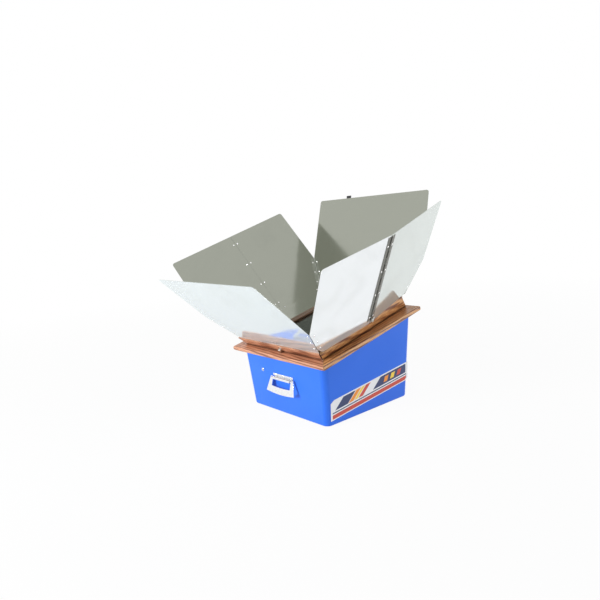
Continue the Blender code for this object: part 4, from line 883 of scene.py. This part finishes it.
def add_rivet_head(shape, foot, out):
    """A low round head in a bmesh."""
    directions = circle_of(out, RIVET_SIDES)
    rings = [[shape.verts.new(foot + out * RIVET_TALL * tall + direction * RIVET_WIDE * wide)
              for direction in directions] for wide, tall in RIVET_PROFILE]
    for low, high in zip(rings, rings[1:]):
        for i in range(RIVET_SIDES):
            after = (i + 1) % RIVET_SIDES
            shape.faces.new((low[i], low[after], high[after], high[i]))
    shape.faces.new(rings[-1])
    shape.faces.new(rings[0][::-1])


def make_rivets():
    """Round pressed heads over both ends of every hinge rivet."""
    metal = bare_metal("rivet_metal", (0.98, 0.98, 0.98), 0.14, 0.24, edge=FINE_EDGE)
    for body, members in BODY_NODES.items():
        shape = bmesh.new()
        for name in members:
            for foot, out in rivet_places(nodes[name].data):
                add_rivet_head(shape, foot, out)
        bmesh.ops.recalc_face_normals(shape, faces=shape.faces)
        item = bmesh_object("rivets_" + body.replace(" ", "_"), shape, metal, 50.0)
        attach(item, body)


def make_gasket():
    """A soft bulb seal in a rounded square under the door."""
    middle = GASKET_OUT - GASKET_WIDTH / 2
    high = (GASKET_HIGH - GASKET_LOW) / 2
    loops = []
    for i in range(GASKET_SIDES):
        angle = 2 * math.pi * i / GASKET_SIDES
        half = middle + math.cos(angle) * GASKET_WIDTH / 2
        level = GASKET_LOW + high + math.sin(angle) * high
        outline = round_corners(-half, half, -half, half, GASKET_RADIUS, GASKET_CORNER_STEPS)
        loops.append([in_mouth(u, v, level) for u, v in outline])
    seal = lofted("gasket_bulb", loops, rubber("gasket_rubber", SEAL_RUBBER), 60.0, ring=True)
    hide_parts("door_gasket")
    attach(seal, "oven")


# Strap on the back of the high petal

def on_high_back(u, up, lift):
    """A point on the outer side of the high petal."""
    return RING_APEX + X_AXIS * u + up_slope(RING_V) * up + outward(RING_V) * (SHEET_FACE + lift)


def strap_loop(share):
    """The strap's section, a flat oval, thinner near both ends and with a woven edge."""
    up = STRAP_LOW + (STRAP_HIGH - STRAP_LOW) * share
    full = min(1.0, STRAP_END_STEEPNESS * share, STRAP_END_STEEPNESS * (1.0 - share))
    thick = STRAP_THICK * (STRAP_END_THICKNESS + (1.0 - STRAP_END_THICKNESS) * full)
    half = STRAP_HALF - STRAP_INSET + WEAVE_DEPTH * math.sin(share * WEAVE_RATE)
    loop = []
    for i in range(STRAP_SIDES):
        angle = 2 * math.pi * i / STRAP_SIDES
        side = math.copysign(abs(math.cos(angle)) ** 0.35, math.cos(angle))
        depth = math.copysign(abs(math.sin(angle)) ** 0.8, math.sin(angle))
        loop.append(on_high_back(STRAP_U + side * half, up,
                                 STRAP_GAP + thick / 2 + depth * thick / 2))
    return loop


def make_stitches():
    """Two rows of stitches along the strap."""
    stitches = bmesh.new()
    turn = Matrix((X_AXIS, up_slope(RING_V), outward(RING_V))).transposed().to_4x4()
    for column in STITCH_COLUMNS:
        for k in range(STITCH_COUNT):
            up = STRAP_LOW + STITCH_FIRST + STITCH_PITCH * k
            centre = on_high_back(STRAP_U + column, up, STRAP_THICK * 0.93)
            place = Matrix.Translation(centre) @ turn @ Matrix.Diagonal(STITCH_HALVES)
            bmesh.ops.create_icosphere(stitches, subdivisions=1, radius=1.0, matrix=place)
    seam = bmesh_object("strap_stitches", stitches, thread())
    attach(seam, "high petal")


def make_strap():
    """Flat webbing with two rows of stitches and two snaps."""
    loops = [strap_loop(row / STRAP_ROWS) for row in range(STRAP_ROWS + 1)]
    strap = lofted("strap_web", loops, webbing(), 50.0)
    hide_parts("closing_strap")
    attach(strap, "high petal")
    make_stitches()
    steel = bare_metal("snap_cap_metal", (0.72, 0.73, 0.74), 0.14, 0.26)
    for k, up in enumerate(SNAP_PLACES):
        cap = turned_piece("strap_snap_%d" % k, on_high_back(STRAP_U, up, STRAP_THICK),
                           outward(RING_V), SNAP_PROFILE, steel)
        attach(cap, "high petal")


# Turned fittings

def joint_axis(joint):
    """The direction and a point of a joint's axis."""
    record = next(j for j in frame["record"]["behaviour"]["joints"] if j["name"] == joint)
    return Vector(record["axis"]).normalized(), Vector(record["pos_m"])


def screw_profile(name, axis, point, depth):
    """A thumb screw's stem, thin collar and dished head, as (distance, radius) pairs."""
    arms = [Vector(vertex.co) - point for vertex in nodes[name].data.vertices]
    along = [arm.dot(axis) for arm in arms]
    radii = [(arm - axis * reach).length for arm, reach in zip(arms, along)]
    low, high = min(along), max(along)
    wide = max(radii)
    stem = min(radius for radius in radii if radius > SCREW_THINNEST)
    head = high - depth
    collar = head + SCREW_COLLAR
    return ((low, stem), (head + SCREW_DISH, stem), (head + SCREW_DISH, wide * 0.98),
            (collar, wide * 0.98), (collar, wide * 0.82), (collar + SCREW_EDGE, wide * 0.86),
            (high - 2 * SCREW_EDGE, wide * 0.86), (high - SCREW_EDGE, wide * 0.80),
            (high, wide * 0.68), (high - SCREW_DISH, wide * 0.30))


def make_screws():
    """Thumb screws with a knurled collar, in place of the plain ones."""
    metal = bare_metal("screw_metal", (0.66, 0.64, 0.60), 0.20, 0.35, edge=FINE_EDGE)
    for side, depth in SCREW_HEADS:
        name = "thumb_screw_" + side
        body = side + " thumb screw"
        axis, point = joint_axis(body + " turn")
        screw = turned_piece("knurled_" + name, point, axis,
                             screw_profile(name, axis, point, depth), metal, SCREW_SIDES,
                             SCREW_FLUTE)
        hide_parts(name)
        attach(screw, body)


def make_stud():
    """A pressed snap stud with a rolled rim on the case's low wall."""
    low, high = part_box("snap_stud")
    middle = (Vector(low) + Vector(high)) / 2
    normal = Vector((0.0, -1.0, -FRONT_DRAFT)).normalized()
    foot = Vector((0.0, BASE_FRONT_Y, 0.0))
    start = middle - normal * ((middle - foot).dot(normal) - STUD_SINK)
    metal = bare_metal("stud_metal", (0.58, 0.61, 0.66), 0.14, 0.24)
    stud = turned_piece("stud_ring", start, normal, STUD_PROFILE, metal, 28)
    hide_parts("snap_stud")
    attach(stud, "oven")


# Studio

def make_floor():
    h, z = FLOOR_HALF, FLOOR_LEVEL
    floor = mesh_object("floor", ((-h, -h, z), (h, -h, z), (h, h, z), (-h, h, z)), [(0, 1, 2, 3)])
    s = Shader("floor")
    away = s.node("ShaderNodeVectorMath", {0: s.coords.outputs["Object"]}, operation="LENGTH")
    whiteness = s.spread(away.outputs["Value"], FLOOR_FADE, to=FLOOR_WHITENESS)
    s.finish_with_blend(s.math("MULTIPLY", s.seen(), whiteness),
                        s.node("ShaderNodeBsdfDiffuse", {"Color": FLOOR_PAINT}),
                        s.node("ShaderNodeEmission", {"Color": WHITE, "Strength": 1.0}))
    floor.data.materials.append(s.material)


def make_world():
    """A white studio to look at and in reflections, a soft pale fill for the light itself."""
    world = bpy.data.worlds.new("studio")
    bpy.context.scene.world = world
    world.use_nodes = True
    w = Nodes(world.node_tree, "ShaderNodeOutputWorld")
    w.finish_with_blend(
        w.seen(),
        w.node("ShaderNodeBackground", {"Color": SKY_COLOUR, "Strength": SKY_STRENGTH}),
        w.node("ShaderNodeBackground", {"Color": WHITE, "Strength": 1.0}))


def make_lamp(name, place, target, size, power):
    """A round lamp that points at a target."""
    data = bpy.data.lights.new(name, "AREA")
    data.shape = "DISK"
    data.size = size
    data.energy = power
    lamp = bpy.data.objects.new(name, data)
    bpy.context.scene.collection.objects.link(lamp)
    lamp.location = place
    lamp.rotation_mode = "QUATERNION"
    lamp.rotation_quaternion = (Vector(target) - Vector(place)).to_track_quat("-Z", "Y")


def make_camera():
    a, e = CAMERA_AZIMUTH, CAMERA_ELEVATION
    back = Vector((math.sin(a) * math.cos(e), -math.cos(a) * math.cos(e), math.sin(e)))
    level = Vector((math.cos(a), math.sin(a), 0.0))
    upright = back.cross(level)
    right = level * math.cos(CAMERA_ROLL) + upright * math.sin(CAMERA_ROLL)
    up = upright * math.cos(CAMERA_ROLL) - level * math.sin(CAMERA_ROLL)
    data = bpy.data.cameras.new("camera")
    data.sensor_width = SENSOR
    data.lens = CAMERA_FOCAL_PIXELS / IMAGE_PIXELS * SENSOR
    data.clip_start, data.clip_end = CAMERA_NEAR, CAMERA_FAR
    camera = bpy.data.objects.new("camera", data)
    bpy.context.scene.collection.objects.link(camera)
    turn = Matrix((right, up, back)).transposed().to_4x4()
    camera.matrix_world = Matrix.Translation(CAMERA_TARGET + back * CAMERA_DISTANCE) @ turn
    bpy.context.scene.camera = camera


paint_nodes()
make_case()
make_label()
make_lips()
make_rivets()
make_gasket()
make_strap()
make_screws()
make_stud()
make_floor()
make_world()
for lamp in LAMPS:
    make_lamp(*lamp)
make_camera()
bpy.context.scene.view_settings.view_transform = "Standard"
